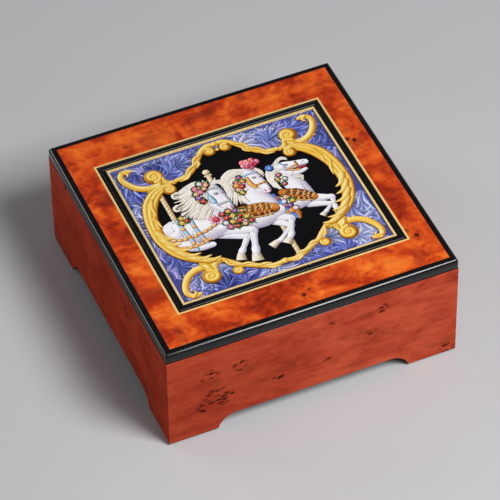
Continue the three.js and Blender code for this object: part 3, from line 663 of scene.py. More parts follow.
WHITE = tones((0.36, 0.31, 0.43), (0.86, 0.83, 0.88), (1.0, 1.0, 1.0))
SHADE = tones((0.3, 0.24, 0.36), (0.52, 0.46, 0.58), (0.72, 0.66, 0.76))
HAIR = tones((0.3, 0.18, 0.11), (0.84, 0.73, 0.6), (1.0, 0.97, 0.9))
GOLD = tones((0.46, 0.17, 0.005), (0.86, 0.47, 0.03), (1.0, 0.8, 0.24))
POLE = tones((0.34, 0.2, 0.08), (0.8, 0.61, 0.34), (1.0, 0.92, 0.68))
TIGER = tones((0.12, 0.02, 0.003), (0.46, 0.11, 0.01), (0.82, 0.34, 0.06))
AMBER = tones((0.45, 0.12, 0.01), (0.85, 0.34, 0.05), (1.0, 0.7, 0.3))
SKY = tones((0.08, 0.18, 0.36), (0.3, 0.52, 0.74), (0.7, 0.86, 0.96))
ROYAL = tones((0.01, 0.03, 0.22), (0.04, 0.15, 0.55), (0.28, 0.5, 0.9))
HOOF = tones((0.3, 0.2, 0.12), (0.74, 0.62, 0.46), (0.98, 0.9, 0.74))
RED = tones((0.15, 0.0, 0.01), (0.6, 0.02, 0.04), (0.95, 0.25, 0.25))
PINK = tones((0.25, 0.02, 0.08), (0.78, 0.15, 0.28), (1.0, 0.55, 0.62))
YELLOW = tones((0.4, 0.18, 0.01), (0.9, 0.55, 0.05), (1.0, 0.88, 0.4))
PURPLE = tones((0.08, 0.01, 0.14), (0.32, 0.08, 0.45), (0.65, 0.38, 0.8))
PEACH = tones((0.35, 0.12, 0.06), (0.9, 0.48, 0.28), (1.0, 0.8, 0.62))
GREEN = tones((0.003, 0.02, 0.005), (0.018, 0.1, 0.018), (0.13, 0.34, 0.08))
INK = tones((0.006, 0.005, 0.012), (0.012, 0.01, 0.02), (0.02, 0.018, 0.03))
GLEAM = tones((0.9, 0.58, 0.1), (1.0, 0.82, 0.3), (1.0, 0.95, 0.62))
RUST = tones((0.26, 0.08, 0.003), (0.46, 0.17, 0.01), (0.66, 0.32, 0.04))
BLUES = [
    tones((0.012, 0.014, 0.09), (0.05, 0.06, 0.28), (0.14, 0.18, 0.5)),
    tones((0.03, 0.035, 0.24), (0.1, 0.12, 0.5), (0.28, 0.33, 0.78)),
    tones((0.06, 0.08, 0.36), (0.19, 0.24, 0.66), (0.46, 0.54, 0.9)),
    tones((0.14, 0.16, 0.5), (0.36, 0.42, 0.8), (0.68, 0.76, 0.97)),
    tones((0.11, 0.07, 0.34), (0.28, 0.22, 0.6), (0.56, 0.51, 0.88)),
    tones((0.24, 0.29, 0.62), (0.54, 0.6, 0.88), (0.88, 0.88, 1.0)),
]
PAINT_LIGHT = np.array((-0.48, 0.56, 0.67))
ACROSS = np.array((-1.0, -0.6, 0.0, 0.6, 1.0))


def catmull(points, n):
    """n points of a smooth curve through the given ones, and their place along it."""
    p = np.array(points, float)
    k = len(p) - 1
    a = np.vstack([2 * p[0] - p[1], p, 2 * p[-1] - p[-2]])
    t = np.linspace(0, k, n)
    i = np.minimum(t.astype(int), k - 1)
    f = (t - i)[:, None]
    q0, q1, q2, q3 = a[i], a[i + 1], a[i + 2], a[i + 3]
    square = 2 * q0 - 5 * q1 + 4 * q2 - q3
    cube = 3 * q1 - q0 - 3 * q2 + q3
    at = 0.5 * (2 * q1 + (q2 - q0) * f + square * f**2 + cube * f**3)
    return at, t


def between(a, b, share):
    return a[0] + (b[0] - a[0]) * share, a[1] + (b[1] - a[1]) * share


def pick(tone, s):
    """Colours of a tone at shades s, from 0 to 1."""
    s = np.clip(s, 0, 1)[..., None]
    low = tone[0] + (tone[1] - tone[0]) * np.minimum(s * 2, 1)
    return low + (tone[2] - tone[1]) * np.maximum(s * 2 - 1, 0)


class Relief:
    """Painted strokes as low reliefs, stacked in the order they are drawn, each keeled down to the ground."""

    def __init__(self, floor, z, step):
        self.floor, self.z, self.step = floor, z, step
        self.verts, self.faces, self.colors = [], [], []

    def rise(self, height=0.012):
        self.z += height

    def stroke(
        self, points, widths, tone, dome=0.012, n=None, caps=(True, True), crease=False, turn_to=None,
        bias=0.0, step=None, over=0.0,
    ):
        """A ribbon along a smooth curve, shaded as if it were round, or folded along its middle."""
        k = len(points) - 1
        n = n or max(4, 4 * k + 1)
        c, t = catmull(points, n)
        w = np.interp(t, range(k + 1), widths)
        d = np.gradient(c, axis=0)
        d /= np.maximum(np.linalg.norm(d, axis=1), 1e-9)[:, None]
        for end, at in ((caps[0], 0), (caps[1], -1)):
            if not end or w[at] < 0.45:
                continue
            sign = -1 if at == 0 else 1
            extra = [
                (c[at] + sign * d[at] * w[at] / 2 * r, w[at] * s)
                for r, s in ((0.55, 0.83), (0.88, 0.48), (1.0, 0.1))
            ]
            if at == 0:
                extra.reverse()
            more_c, more_w = np.array([e[0] for e in extra]), np.array([e[1] for e in extra])
            more_d = np.repeat(d[at][None], len(extra), 0)
            if at == 0:
                c, w, d = np.vstack((more_c, c)), np.concatenate((more_w, w)), np.vstack((more_d, d))
            else:
                c, w, d = np.vstack((c, more_c)), np.concatenate((w, more_w)), np.vstack((d, more_d))
        side = np.stack([-d[:, 1], d[:, 0]], 1)
        w = np.maximum(w, 0.04)
        xy = c[:, None] + side[:, None] * (ACROSS[None, :, None] * w[:, None, None] / 2)
        lift = np.sqrt(1 - ACROSS**2)[None] * dome * np.minimum(1, w / 2)[:, None]
        lean = np.sign(ACROSS) * 0.62 if crease else ACROSS * 0.93
        s = side @ PAINT_LIGHT[:2]
        s = s[:, None] * lean[None] + np.sqrt(1 - lean**2)[None] * PAINT_LIGHT[2]
        s = np.clip((s - 0.02) / 0.93 + bias, 0, 1)
        color = pick(tone, s)
        if turn_to is not None:
            share = np.linspace(0, 1, len(c))[:, None, None]
            color = color * (1 - share) + pick(turn_to, s) * share
        base, m = len(self.verts), len(c)
        for i in range(m):
            for j in range(5):
                self.verts.append((xy[i, j, 0], xy[i, j, 1], self.z + over + lift[i, j]))
                self.colors.append(color[i, j])
            self.verts.append((c[i, 0], c[i, 1], self.floor))
            self.colors.append(color[i, 4])
        for i in range(m - 1):
            a, b = base + 6 * i, base + 6 * i + 6
            for j in range(6):
                l = (j + 1) % 6
                self.faces.append((a + j, b + j, b + l, a + l))
        self.faces.append(tuple(base + j for j in range(6)))
        self.faces.append(tuple(base + 6 * (m - 1) + j for j in reversed(range(6))))
        self.z += self.step if step is None else step

    def limb(self, points, widths, tone, line=0.5, under=INK, **more):
        """A stroke with a dark line round it."""
        self.stroke(points, [w + line for w in widths], under, **{**more, "dome": 0.002})
        self.stroke(points, widths, tone, **more)

    def knob(self, x, y, r, tone, dome=0.012, sides=10, bias=0.0, hold=False, over=0.0):
        """A round, domed dot."""
        base = len(self.verts)
        turn = np.arange(sides) * 2 * math.pi / sides
        ring = np.stack([np.cos(turn), np.sin(turn)], 1)
        for share in (1.0, 0.62):
            lean = share * 0.93
            for u in ring:
                self.verts.append(
                    (
                        x + r * share * u[0], y + r * share * u[1],
                        self.z + over + dome * math.sqrt(1 - share**2),
                    ),
                )
                s = lean * (u @ PAINT_LIGHT[:2]) + math.sqrt(1 - lean**2) * PAINT_LIGHT[2]
                self.colors.append(pick(tone, np.array((s - 0.02) / 0.93 + bias)))
        top = pick(tone, np.array(PAINT_LIGHT[2] + bias))
        self.verts += [(x, y, self.z + over + dome), (x, y, self.floor)]
        self.colors += [top, top]
        for i in range(sides):
            j = (i + 1) % sides
            self.faces.append((base + i, base + j, base + sides + j, base + sides + i))
            self.faces.append((base + sides + i, base + sides + j, base + 2 * sides))
            self.faces.append((base + j, base + i, base + 2 * sides + 1))
        if not hold:
            self.z += self.step

    def volute(self, x, y, r, start, turns, tone, sign=1):
        """A spiral that winds in from radius r, beginning at the angle start, over a dark disc."""
        self.knob(x, y, r + 0.22, RUST, dome=0.002, sides=20)
        n = int(9 * turns)
        width = 0.93 * r / turns
        points, widths = [], []
        for i in range(n + 1):
            share = i / n
            a = math.radians(start + sign * 360 * turns * share)
            rr = (r - width / 2) * (1 - share) + 0.06 * r
            points.append((x + rr * math.cos(a), y + rr * math.sin(a)))
            widths.append(width * (1 - 0.35 * share))
        self.stroke(points, widths, tone, n=2 * n + 1, bias=0.04)
        self.stroke(
            [(px - 0.1, py + 0.1) for px, py in points], [0.3 * w for w in widths], GLEAM, dome=0.002,
            n=2 * n + 1, over=0.009, step=0,
        )
        self.knob(x, y, width * 0.42, tone, bias=0.15)

    def flower(self, x, y, r, tone, heart=YELLOW, petals=5, spin=0.0):
        self.knob(x, y, r * 1.06, INK, dome=0.001, sides=8, hold=True)
        for i in range(petals):
            a = spin + i * 2 * math.pi / petals
            self.knob(
                x + 0.55 * r * math.cos(a), y + 0.55 * r * math.sin(a), r * 0.5, tone, dome=0.007, sides=7,
                hold=True, over=0.002, bias=-0.22,
            )
        for i in range(petals):
            a = spin + (i + 0.5) * 2 * math.pi / petals
            self.knob(
                x + 0.33 * r * math.cos(a), y + 0.33 * r * math.sin(a), r * 0.3, tone, dome=0.004, sides=6,
                hold=True, over=0.006, bias=0.06,
            )
        self.knob(x, y, r * 0.22, heart, dome=0.003, sides=6, over=0.012)

    def leaf(self, x, y, length, angle, tone=GREEN, width=1.3):
        dx, dy = math.cos(angle), math.sin(angle)
        points = [
            (x, y), (x + dx * length * 0.5 - dy * 0.25, y + dy * length * 0.5 + dx * 0.25),
            (x + dx * length, y + dy * length),
        ]
        self.stroke(points, [0.3, width, 0.15], tone, n=5, crease=True, dome=0.006, step=0)

    def piece(self, name):
        add_painted(name, self.verts, self.faces, self.colors)


def add_painted(name, verts, faces, colors):
    """A painted piece of the picture, with one colour a point."""
    mesh = mesh_of(name, verts, faces)
    layer = mesh.color_attributes.new(name="paint", type="FLOAT_COLOR", domain="POINT")
    rgba = np.ones((len(verts), 4), np.float32)
    rgba[:, :3] = np.array(colors, np.float32)
    layer.data.foreach_set("color", rgba.ravel())
    return register(bpy.data.objects.new(name, mesh), PAINTED, "lid", angle=40)


def mirrored(points):
    return [(-x, y) for x, y in points]


# Middle line of the gilt border, right half, from the top.
BORDER = [
    (0, 49.6), (8, 49.2), (13, 45.4), (17, 40.8), (21.5, 36.4), (27, 34), (33, 32.8), (39.4, 30.8),
    (46.5, 28.3), (52.8, 21),
    (56.5, 10.6), (57.5, 1), (57, -8), (53, -18.5), (47, -26), (40, -31), (33, -33.3), (28, -38),
    (23, -42.8),
    (16, -45.8), (9, -49), (0, -49),
]


def border_radius(angle):
    """How far the border's middle line lies from the picture's middle, in a direction."""
    turned = abs(math.remainder(angle - math.pi / 2, 2 * math.pi))
    at = [math.pi / 2 - math.atan2(y, x) for x, y in BORDER]
    return float(np.interp(turned, at, [math.hypot(x, y) for x, y in BORDER]))


def draw_foliage(half_x, half_y, floor, z):
    """Overlapping fans of long blue and violet leaves over the whole field outside the border."""
    rng = random.Random(11)
    art = Relief(floor, z, 0.0)
    spacing = 6.6
    rows, cols = int(2 * half_y / spacing) + 1, int(2 * half_x / spacing) + 1
    roots = []
    for row in range(rows + 1):
        for col in range(cols + 1):
            x = -half_x + (col + 0.5 * (row % 2)) * spacing + rng.uniform(-1.8, 1.8)
            y = -half_y + row * spacing + rng.uniform(-1.8, 1.8)
            if abs(x) < half_x - 0.5 and abs(y) < half_y - 0.5 and math.hypot(x, y) > border_radius(
                math.atan2(y, x),
            ) - 8:
                roots.append((x, y))
    rng.shuffle(roots)
    for number, (x, y) in enumerate(roots):
        swirl = 1.7 * math.sin(0.07 * x + 0.6) + 1.5 * math.cos(
            0.08 * y - 0.05 * x,
        ) + 0.8 * math.atan2(y, x) + rng.uniform(-0.4, 0.4)
        light = math.sin(0.12 * x + 0.09 * y + 1.0) + math.sin(0.07 * x - 0.13 * y) + rng.uniform(-1.6, 1.6)
        tip = BLUES[[0, 1, 2, 2, 3, 5][min(5, max(0, int((light + 2.6) * 1.2)))]]
        root = BLUES[[0, 1, 0, 4, 1][rng.randrange(5)]]
        curl = rng.choice((-0.3, 0.2, 0.4))
        blades = rng.choice((8, 9, 10))
        for i in sorted(range(blades), key=lambda b: -abs(b - (blades - 1) / 2)):
            share = (i - (blades - 1) / 2) / ((blades - 1) / 2)
            angle = swirl + share * 0.85
            length = (16.5 - 6.5 * abs(share)) * rng.uniform(0.85, 1.12)
            for shorten in (1, 0.75, 0.55, 0.4, 0.28, 0.18):
                points = [(x, y)]
                for part in (0.5, 1.0):
                    a = angle + (share * 0.35 + curl) * part * part
                    points.append(
                        (
                            x + shorten * length * part * math.cos(a),
                            y + shorten * length * part * math.sin(a),
                        ),
                    )
                if all(abs(px) < half_x - 0.35 and abs(py) < half_y - 0.35 for px, py in points):
                    break
            else:
                continue
            glow = (0.52, 1.22)[i % 2] * rng.uniform(0.9, 1.1)
            art.z = z + number * 0.0005 + (blades - abs(share) * blades / 2) * 0.0012
            art.stroke(
                points, [0.6, 2.5 * (0.6 + 0.4 * shorten), 0.1], np.minimum(root * glow, 1), dome=0.012,
                n=5,
                caps=(False, False), crease=True, turn_to=np.minimum(tip * glow, 1),
                bias=rng.uniform(-0.12, 0.12),
            )
    art.piece("picture_foliage")


def acanthus(art, points, widths, flip, bright=0.0, line=0.3):
    """A gilt leaf with a dark rim and a light vein."""
    art.limb(flip(points), widths, GOLD, line, under=RUST, bias=bright)
    art.stroke(flip(points), [0.34 * w for w in widths], GLEAM, dome=0.003, over=0.009, step=0)


def facing(angle, sign):
    """An angle on the right half, or its mirror image on the left."""
    return angle if sign > 0 else 180 - angle


def unchanged(points):
    return points


def draw_scrolls(floor, z):
    """The gilt border: fluted side scrolls, leaf tips, rails and four corner scrolls."""
    art = Relief(floor, z, 0.0009)
    for flip, sign in ((unchanged, 1), (mirrored, -1)):
        art.z = z
        # Corner scrolls, above and below.
        for y, s in ((42, 1), (-43.4, -1)):
            arm = [
                (40, 7.2), (47, 7.9), (53.4, 5.4), (58.2, -0.4), (59.8, -6.6), (57, -10.4), (53.2, -9.8),
            ]
            points = [(px, y - s * py) for px, py in arm]
            for k, (dx, dy, w) in ((1, (3, 2.6, 2.6)), (2, (3.4, 0.6, 2.8)), (3, (2.2, -3.2, 2.4))):
                acanthus(art, [points[k], (points[k][0] + dx, points[k][1] - s * dy)], [w, 0.4], flip)
            art.limb(flip(points), [4.6, 4.6, 4.2, 3.9, 3.6, 3.2, 2.6], GOLD, 0.3, under=RUST, bias=0.04)
            art.rise(0.008)
            inner = [(px - 0.55, py + 0.75) for px, py in points]
            art.stroke(flip(inner), [0.3, 1, 1.3, 1.3, 1.1, 0.9, 0.3], GLEAM, dome=0.003)
            outer = [(px + 0.75, py - 0.55) for px, py in points]
            art.stroke(flip(outer), [0.2, 0.4, 0.5, 0.5, 0.4, 0.3, 0.2], RUST, dome=0.003, bias=0.1)
            acanthus(art, [points[5], (55, y + s * 8.2), (56.2, y + s * 6.2)], [2.6, 1.8, 0.3], flip)
            acanthus(
                art, [(44, y - s * 11.0), (42, y - s * 8.0), (39.6, y - s * 3.4)], [2.6, 5.2, 1.4], flip,
            )
            acanthus(
                art, [(33, y - s * 8.8), (36.8, y - s * 7.4), (38, y - s * 2.0)], [2.8, 3.8, 1.2], flip,
            )
            art.volute(sign * 42.2, y, 5.5, facing(-90 * s, sign), 1.7, GOLD, -sign * s)
        # Rails over the top and bottom.
        for points, widths in (
            ([(-0.4, 52), (4.5, 52.6), (9.6, 49.6), (13.4, 45), (17.3, 40.6), (21.2, 36.8), (26, 34.4),
            (31.5, 34)], [3, 3.4, 3.4, 3, 3.4, 3, 3.6, 2.6]),
            ([(32.4, -33.4), (27.8, -38.2), (23.6, -42.2), (18.5, -44.8), (13.5, -47.4), (8, -49.8),
            (3, -49.8), (-0.4, -48.6)], [2.6, 3.4, 3, 3, 3.4, 3.2, 3, 2.4]),
        ):
            art.limb(flip(points), widths, GOLD, 0.4, under=RUST, bias=0.04)
            art.rise(0.008)
            art.stroke(
                flip([(x - 0.3, y + 0.6) for x, y in points]), [0.3] + [0.95] * (len(points) - 2) + [0.3],
                GLEAM, dome=0.003,
            )
        for tip, widths in (
            ([(11.6, 47.8), (15.4, 45.6), (18.2, 41.4)], [1.6, 2.4, 0.4]),
            ([(17.6, 41.2), (21.4, 39.2), (25.4, 35.6)], [1.6, 2.4, 0.4]),
            ([(14, 43.6), (14.2, 41), (16.6, 38.4)], [1.4, 1.7, 0.3]),
            ([(22, 35.6), (25, 33), (29.6, 32.2)], [1.4, 1.8, 0.3]),
            ([(30.6, -35.6), (29.6, -39), (26.4, -41.6)], [1.6, 2, 0.4]),
            ([(14.8, -46.6), (11.2, -46.6), (7.4, -47.6)], [1.6, 1.8, 0.3]),
            ([(23, -42.2), (19.6, -42.4), (16.2, -44)], [1.6, 1.8, 0.3]),
            ([(10.4, -50), (7.6, -51.4), (3.6, -51.4)], [1.6, 1.6, 0.3]),
        ):
            acanthus(art, tip, widths, flip)
        art.volute(sign * 5.0, 47.9, 3.4, facing(70, sign), 1.35, GOLD, sign)
        art.volute(sign * 26.8, -45.2, 3.2, facing(150, sign), 1.3, GOLD, sign)
        # Side scroll: three flutes that part into leaf tips.
        spine = [
            (35.5, 32.4), (41, 31.4), (47, 28.2), (52.9, 21), (56.6, 10.6), (57.6, 1), (57, -8),
            (53.2, -18.5), (47, -26), (40, -31), (33, -33.6),
        ]
        spread = np.array([0.5, 1.5, 2.2, 2.6, 2.3, 2.2, 2.2, 2.1, 1.7, 1.2, 0.5])
        c = np.array(spine)
        d = np.gradient(c, axis=0)
        d /= np.linalg.norm(d, axis=1)[:, None]
        side = np.stack([-d[:, 1], d[:, 0]], 1)
        art.stroke(flip(spine), [1.1 + 3.1 * s for s in spread], RUST, dome=0.002)
        for share, bias in ((-1, -0.04), (1, 0.02), (0, 0.1)):
            line = [tuple(p) for p in c + side * (spread * share)[:, None]]
            art.limb(flip(line), list(0.7 + 0.82 * spread), GOLD, 0.36, under=RUST, bias=bias)
            art.stroke(
                flip([tuple(p) for p in np.array(line) + side * 0.25 + (-0.15 * sign, 0.2)]),
                list(0.16 + 0.26 * spread), GLEAM, dome=0.014,
            )
        art.rise(0.014)
        tips = (
            ((43, -29.2), (37.4, -32.4), (31.6, -31.4)), ((48, -25), (42.4, -29.2), (36, -28.4)),
            ((52.4, -18.6), (47.4, -24.2), (41, -24.6)),
            ((55.4, -12.4), (51, -18.2), (45, -19.2)), ((57, -6), (53.4, -12), (48.2, -13.4)),
            ((57.4, 0), (54.6, -6), (50.2, -8)),
        )
        for tip in tips:
            acanthus(art, list(tip), [4.4, 3.6, 0.5], flip, 0.06, 0.35)
        acanthus(art, [(55.6, 12), (54, 7.4), (53, 2)], [2, 2.2, 0.4], flip)
        acanthus(art, [(50.5, 25), (52.6, 18.6), (52.4, 12.6)], [2, 2.2, 0.4], flip)
        art.volute(sign * 37.6, 28.8, 3.8, facing(75, sign), 1.5, GOLD, sign)
    for y, r in ((52.6, 1.8), (47.6, 1.2), (-49.6, 1.8)):
        art.knob(0, y, r, GOLD, bias=0.1)
    art.piece("picture_scrollwork")


def hair(art, keys, count, rng, width=1.9):
    """Locks that run between key curves, light and dark by turns."""
    for a, b in zip(keys, keys[1:]):
        for i in range(count):
            share = (i + rng.uniform(-0.3, 0.3)) / count
            points = []
            for p, q in zip(a, b):
                x, y = between(p, q, share)
                points.append((x + rng.uniform(-0.5, 0.5), y + rng.uniform(-0.5, 0.5)))
            dark = i % 3 == 2
            size = width * (0.62 if dark else 1.0)
            art.stroke(
                points, [0.8, size, size * 0.85, 0.2], HAIR * (0.74 if dark else 1.0), n=10, dome=0.01,
                bias=rng.uniform(-0.08, 0.16), step=0.0006,
            )


def bunch(art, spots, rng, size=1.9):
    """Flowers and buds over dark and light leaves."""
    colors = [RED, PINK, YELLOW, PEACH, PURPLE, WHITE, RED, AMBER]
    for x, y in spots:
        art.knob(x, y, size * 1.25, GREEN, dome=0.002, sides=7, bias=-0.6, hold=True)
    art.rise(0.002)
    for x, y in spots:
        for _ in range(6):
            root = (x + rng.uniform(-0.6, 0.6), y + rng.uniform(-0.6, 0.6))
            art.leaf(
                *root, size * rng.uniform(1.1, 1.7), rng.uniform(0, 6.28),
                GREEN * rng.choice((0.6, 1, 1.8)), 1,
            )
    art.rise(0.004)
    for i, (x, y) in enumerate(spots):
        tone = colors[(i * 5 + rng.randrange(3)) % len(colors)]
        for _ in range(2):
            a = rng.uniform(0, 6.28)
            bud = (x + 0.95 * size * math.cos(a), y + 0.95 * size * math.sin(a))
            art.knob(*bud, 0.3 * size, rng.choice(colors), dome=0.004, sides=6, hold=True, bias=-0.1)
        art.flower(
            x, y, size * rng.uniform(0.62, 0.9), tone, RED if tone is YELLOW else YELLOW,
            rng.choice((5, 6)), rng.uniform(0, 6.28),
        )


def pole(art, x, y0, y1, width=2.7):
    """A barley-twist pole."""
    art.limb([(x, y0), (x, (y0 + y1) / 2), (x, y1)], [width] * 3, POLE, caps=(False, False))
    art.rise()
    y = y0 + 1.2
    while y < y1 - 1.2:
        art.stroke(
            [(x - width * 0.45, y - 1.0), (x + width * 0.45, y + 1.0)], [0.5, 0.5], RUST, dome=0.002, n=3,
            caps=(False, False), bias=0.3,
        )
        y += 2.6


def strap(art, points, width, tone, studs=0, stud=1.0):
    art.limb(points, [width] * len(points), tone, 0.35, caps=(False, False), dome=0.004)
    if studs:
        at, _ = catmull(points, studs + 2)
        for x, y in at[1:-1]:
            art.knob(x, y, stud * 1.22, RUST, dome=0.001, sides=8, hold=True, over=0.004)
            art.knob(x, y, stud, AMBER, dome=0.004, sides=8, bias=0.12, hold=True, over=0.005)
    art.rise(0.003)


def eye(art, x, y, r=0.8, lean=-0.2):
    """An almond eye with its lid."""
    dx, dy = 1.5 * r, 1.5 * r * lean
    art.stroke([(x - dx, y - dy), (x, y), (x + dx, y + dy)], [0.3, 2.1 * r, 0.3], SHADE, n=7, dome=0.002)
    art.stroke(
        [(x - dx * 0.75, y - dy * 0.75), (x, y), (x + dx * 0.75, y + dy * 0.75)], [0.2, 1.35 * r, 0.2], INK,
        n=7, dome=0.002,
    )
    art.stroke(
        [(x - dx, y - dy + 0.5 * r), (x, y + 0.95 * r), (x + dx, y + dy + 0.5 * r)], [0.15, 0.42 * r, 0.15],
        INK, n=7, dome=0.002,
    )
    art.knob(x - r * 0.3, y + r * 0.3, r * 0.26, WHITE, dome=0.002, sides=6, bias=0.5)


def fold(art, points, widths):
    """A soft shadow in a coat."""
    art.stroke(points, widths, SHADE, n=8, dome=0.002)


def muzzle(art, nostrils, y, mouth, widths, long):
    """Two nostrils, and the line of the mouth."""
    for x in nostrils:
        art.stroke([(x, y), (x + 0.5, y - long)], widths, PINK, dome=0.002, n=4, bias=-0.3)
    art.stroke(mouth[0], mouth[1], PINK, dome=0.002, n=6, bias=-0.2)


def leg(art, joints, w, toe):
    """A leg through shoulder, knee, fetlock and pastern, and its hoof down to the toe."""
    s, k, f, p = joints
    art.limb([p, toe], [0.4 * w, 0.6 * w], HOOF, 0.45, caps=(False, False))
    spine = [s, between(s, k, 0.5), between(s, k, 0.84), k, between(k, f, 0.26), between(k, f, 0.74), f, p]
    art.limb(spine, [w * q for q in (1, 0.7, 0.48, 0.5, 0.35, 0.3, 0.42, 0.34)], WHITE, 0.5)
    art.stroke(
        [between(k, f, -0.1), between(k, f, 0.12)], [0.2, 0.9], SHADE, dome=0.002, n=4, bias=0.15,
        over=0.011,
    )
    dx, dy = f[1] - k[1], k[0] - f[0]
    size = math.hypot(dx, dy) / (0.08 * w)
    a, b = between(k, f, 0.2), between(k, f, 0.85)
    art.stroke(
        [(a[0] + dx / size, a[1] + dy / size), (b[0] + dx / size, b[1] + dy / size)], [0.3, 0.3], SHADE,
        dome=0.002, n=4, bias=0.25, over=0.011,
    )
    art.stroke(
        [(p[0] - 0.16 * w, p[1] + 0.3), (p[0] + 0.16 * w, p[1] + 0.3)], [0.8, 0.8], HAIR, dome=0.002, n=3,
        over=0.011,
    )


def saddle_cloth(art, points, widths, rng):
    """A padded saddle flap in dark tiger stripes."""
    art.limb(points, widths, TIGER, 0.6)
    art.rise()
    at, t = catmull(points, 17)
    reach = np.interp(t, range(len(points)), widths) * 0.5
    d = np.gradient(at, axis=0)
    d /= np.linalg.norm(d, axis=1)[:, None]
    for i in range(1, 16):
        for row in (-0.78, -0.42, -0.06, 0.3, 0.66):
            u = d[i]
            v = np.array((-u[1], u[0]))
            here = at[i] + v * reach[i] * (row + rng.uniform(-0.08, 0.08)) + u * rng.uniform(-0.3, 0.3)
            there = here + u * rng.uniform(1, 1.8) + v * math.copysign(rng.uniform(1, 1.9), row + 0.1)
            dark = (i + int(10 * row)) % 3
            art.stroke(
                [tuple(here), tuple(there)], [1.15, 0.15], INK if dark else AMBER, dome=0.002, n=3,
                caps=(False, False), bias=0.1, step=0.0003,
            )
    rim = [tuple(p) for p in at + np.stack([-d[:, 1], d[:, 0]], 1) * (-0.92 * reach)[:, None]]
    art.stroke(rim, [0.55] * len(rim), AMBER, dome=0.003, n=17, bias=0.2)


def far_horse(art, rng):
    """The right-hand horse, its head raised."""
    leg(art, [(31, -13), (42.6, -18.6), (37.6, -22.8), (36.2, -23.6)], 7, (34, -25.4))
    leg(art, [(31, -9), (45, -13.8), (43.6, -21.6), (43.4, -23.6)], 8.4, (43.8, -27))
    art.limb([(14, -8), (24, -9), (31, -8.5)], [12, 12.5, 11], WHITE, 0.6)
    art.limb([(31.2, -6), (30.2, 2), (27.8, 10), (26.8, 17)], [12.5, 12.5, 10.5, 8], WHITE, 0.6)
    art.limb([(28.6, 14.6), (33, 12.6), (37.4, 12.2), (40.6, 12.9)], [6, 4.6, 2.9, 2.3], WHITE, 0.5)
    art.stroke([(35, 15), (38.5, 14.9), (41, 15)], [0.6, 1.6, 1.3], RED, bias=-0.3)
    art.limb(
        [(25.8, 19.4), (30, 19.6), (35, 19), (39.6, 18.7), (42.2, 18.4)], [6.4, 7.4, 5.9, 4.8, 4.4],
        WHITE, 0.5,
    )
    art.limb([(26, 22.4), (27.2, 26)], [2.2, 0.5], WHITE, 0.45)
    art.stroke([(26.5, 23.2), (27.2, 25.2)], [0.8, 0.2], PINK, n=4)
    art.rise()
    fold(art, [(29.6, 10), (32.6, 13.4), (32.2, 17)], [0.2, 0.7, 0.2])
    fold(art, [(33, 6), (33.4, -1), (34.4, -7)], [0.2, 1.2, 0.2])
    hair(
        art,
        [
            [(24.6, 23), (20.6, 22), (17.4, 17.4), (17, 12.5)],
            [(24.8, 19), (20.4, 16.4), (17.8, 11), (18.4, 5.6)],
            [(25.4, 14), (21.4, 10.6), (20.2, 6), (22.4, 1.6)],
        ],
        7, rng, 1.9,
    )
    hair(
        art,
        [
            [(25.4, 23.6), (28, 26.2), (31, 26.6), (33.8, 25.2)],
            [(26.4, 22.6), (29, 24.6), (31.4, 24.6), (33, 23.2)],
        ],
        4, rng, 1.3,
    )
    hair(
        art,
        [
            [(31.6, 9.8), (34.6, 9.4), (36.4, 8), (35.4, 5.4)],
            [(30.6, 8), (33.6, 6.6), (34.8, 5), (33.6, 3.4)],
        ],
        3, rng, 1.2,
    )
    art.rise(0.01)
    strap(art, [(28, 23.2), (30, 20.4), (29.4, 15.6)], 0.9, SKY)
    strap(art, [(37, 21.2), (37.4, 18.2), (36.6, 15.6)], 1.1, TIGER)
    strap(art, [(29.8, 17), (33.6, 14.8), (37.4, 13.8)], 1.2, AMBER)
    strap(art, [(30, 16.8), (33.6, 17.6), (37.2, 18.6)], 1, AMBER)
    eye(art, 31.4, 20.2, 0.8)
    art.stroke([(40.9, 19.2), (42.4, 19.6)], [0.9, 0.4], SHADE, dome=0.002, n=4, bias=-0.4)
    saddle_cloth(art, [(21, 0), (26.6, -3.4), (31.5, -6.8), (35.4, -9.4)], [6.5, 9, 8.6, 5], rng)
    bunch(art, [(24, 14.6), (26.4, 10.4), (22.2, 11.4), (24.6, 6.8)], rng, 1.7)
    art.flower(21.4, 21.6, 2.6, ROYAL, SKY, 6)
    art.limb([(14.6, 1), (16.4, -6), (17.6, -14), (20.6, -20)], [2.6, 3.8, 4, 3.2], ROYAL, 0.5)
    art.limb([(20.6, -13), (22.4, -17), (21.8, -21)], [2.4, 3.6, 2.4], TIGER, 0.5)
    bunch(
        art,
        [
            (15.4, -3), (18.4, -6.4), (20.8, -3.4), (16.6, -10), (20.4, -10.4), (23.2, -7.4), (19.4, -14.4),
            (22.6, -13.4), (16.2, -14.6),
        ],
        rng, 1.9,
    )


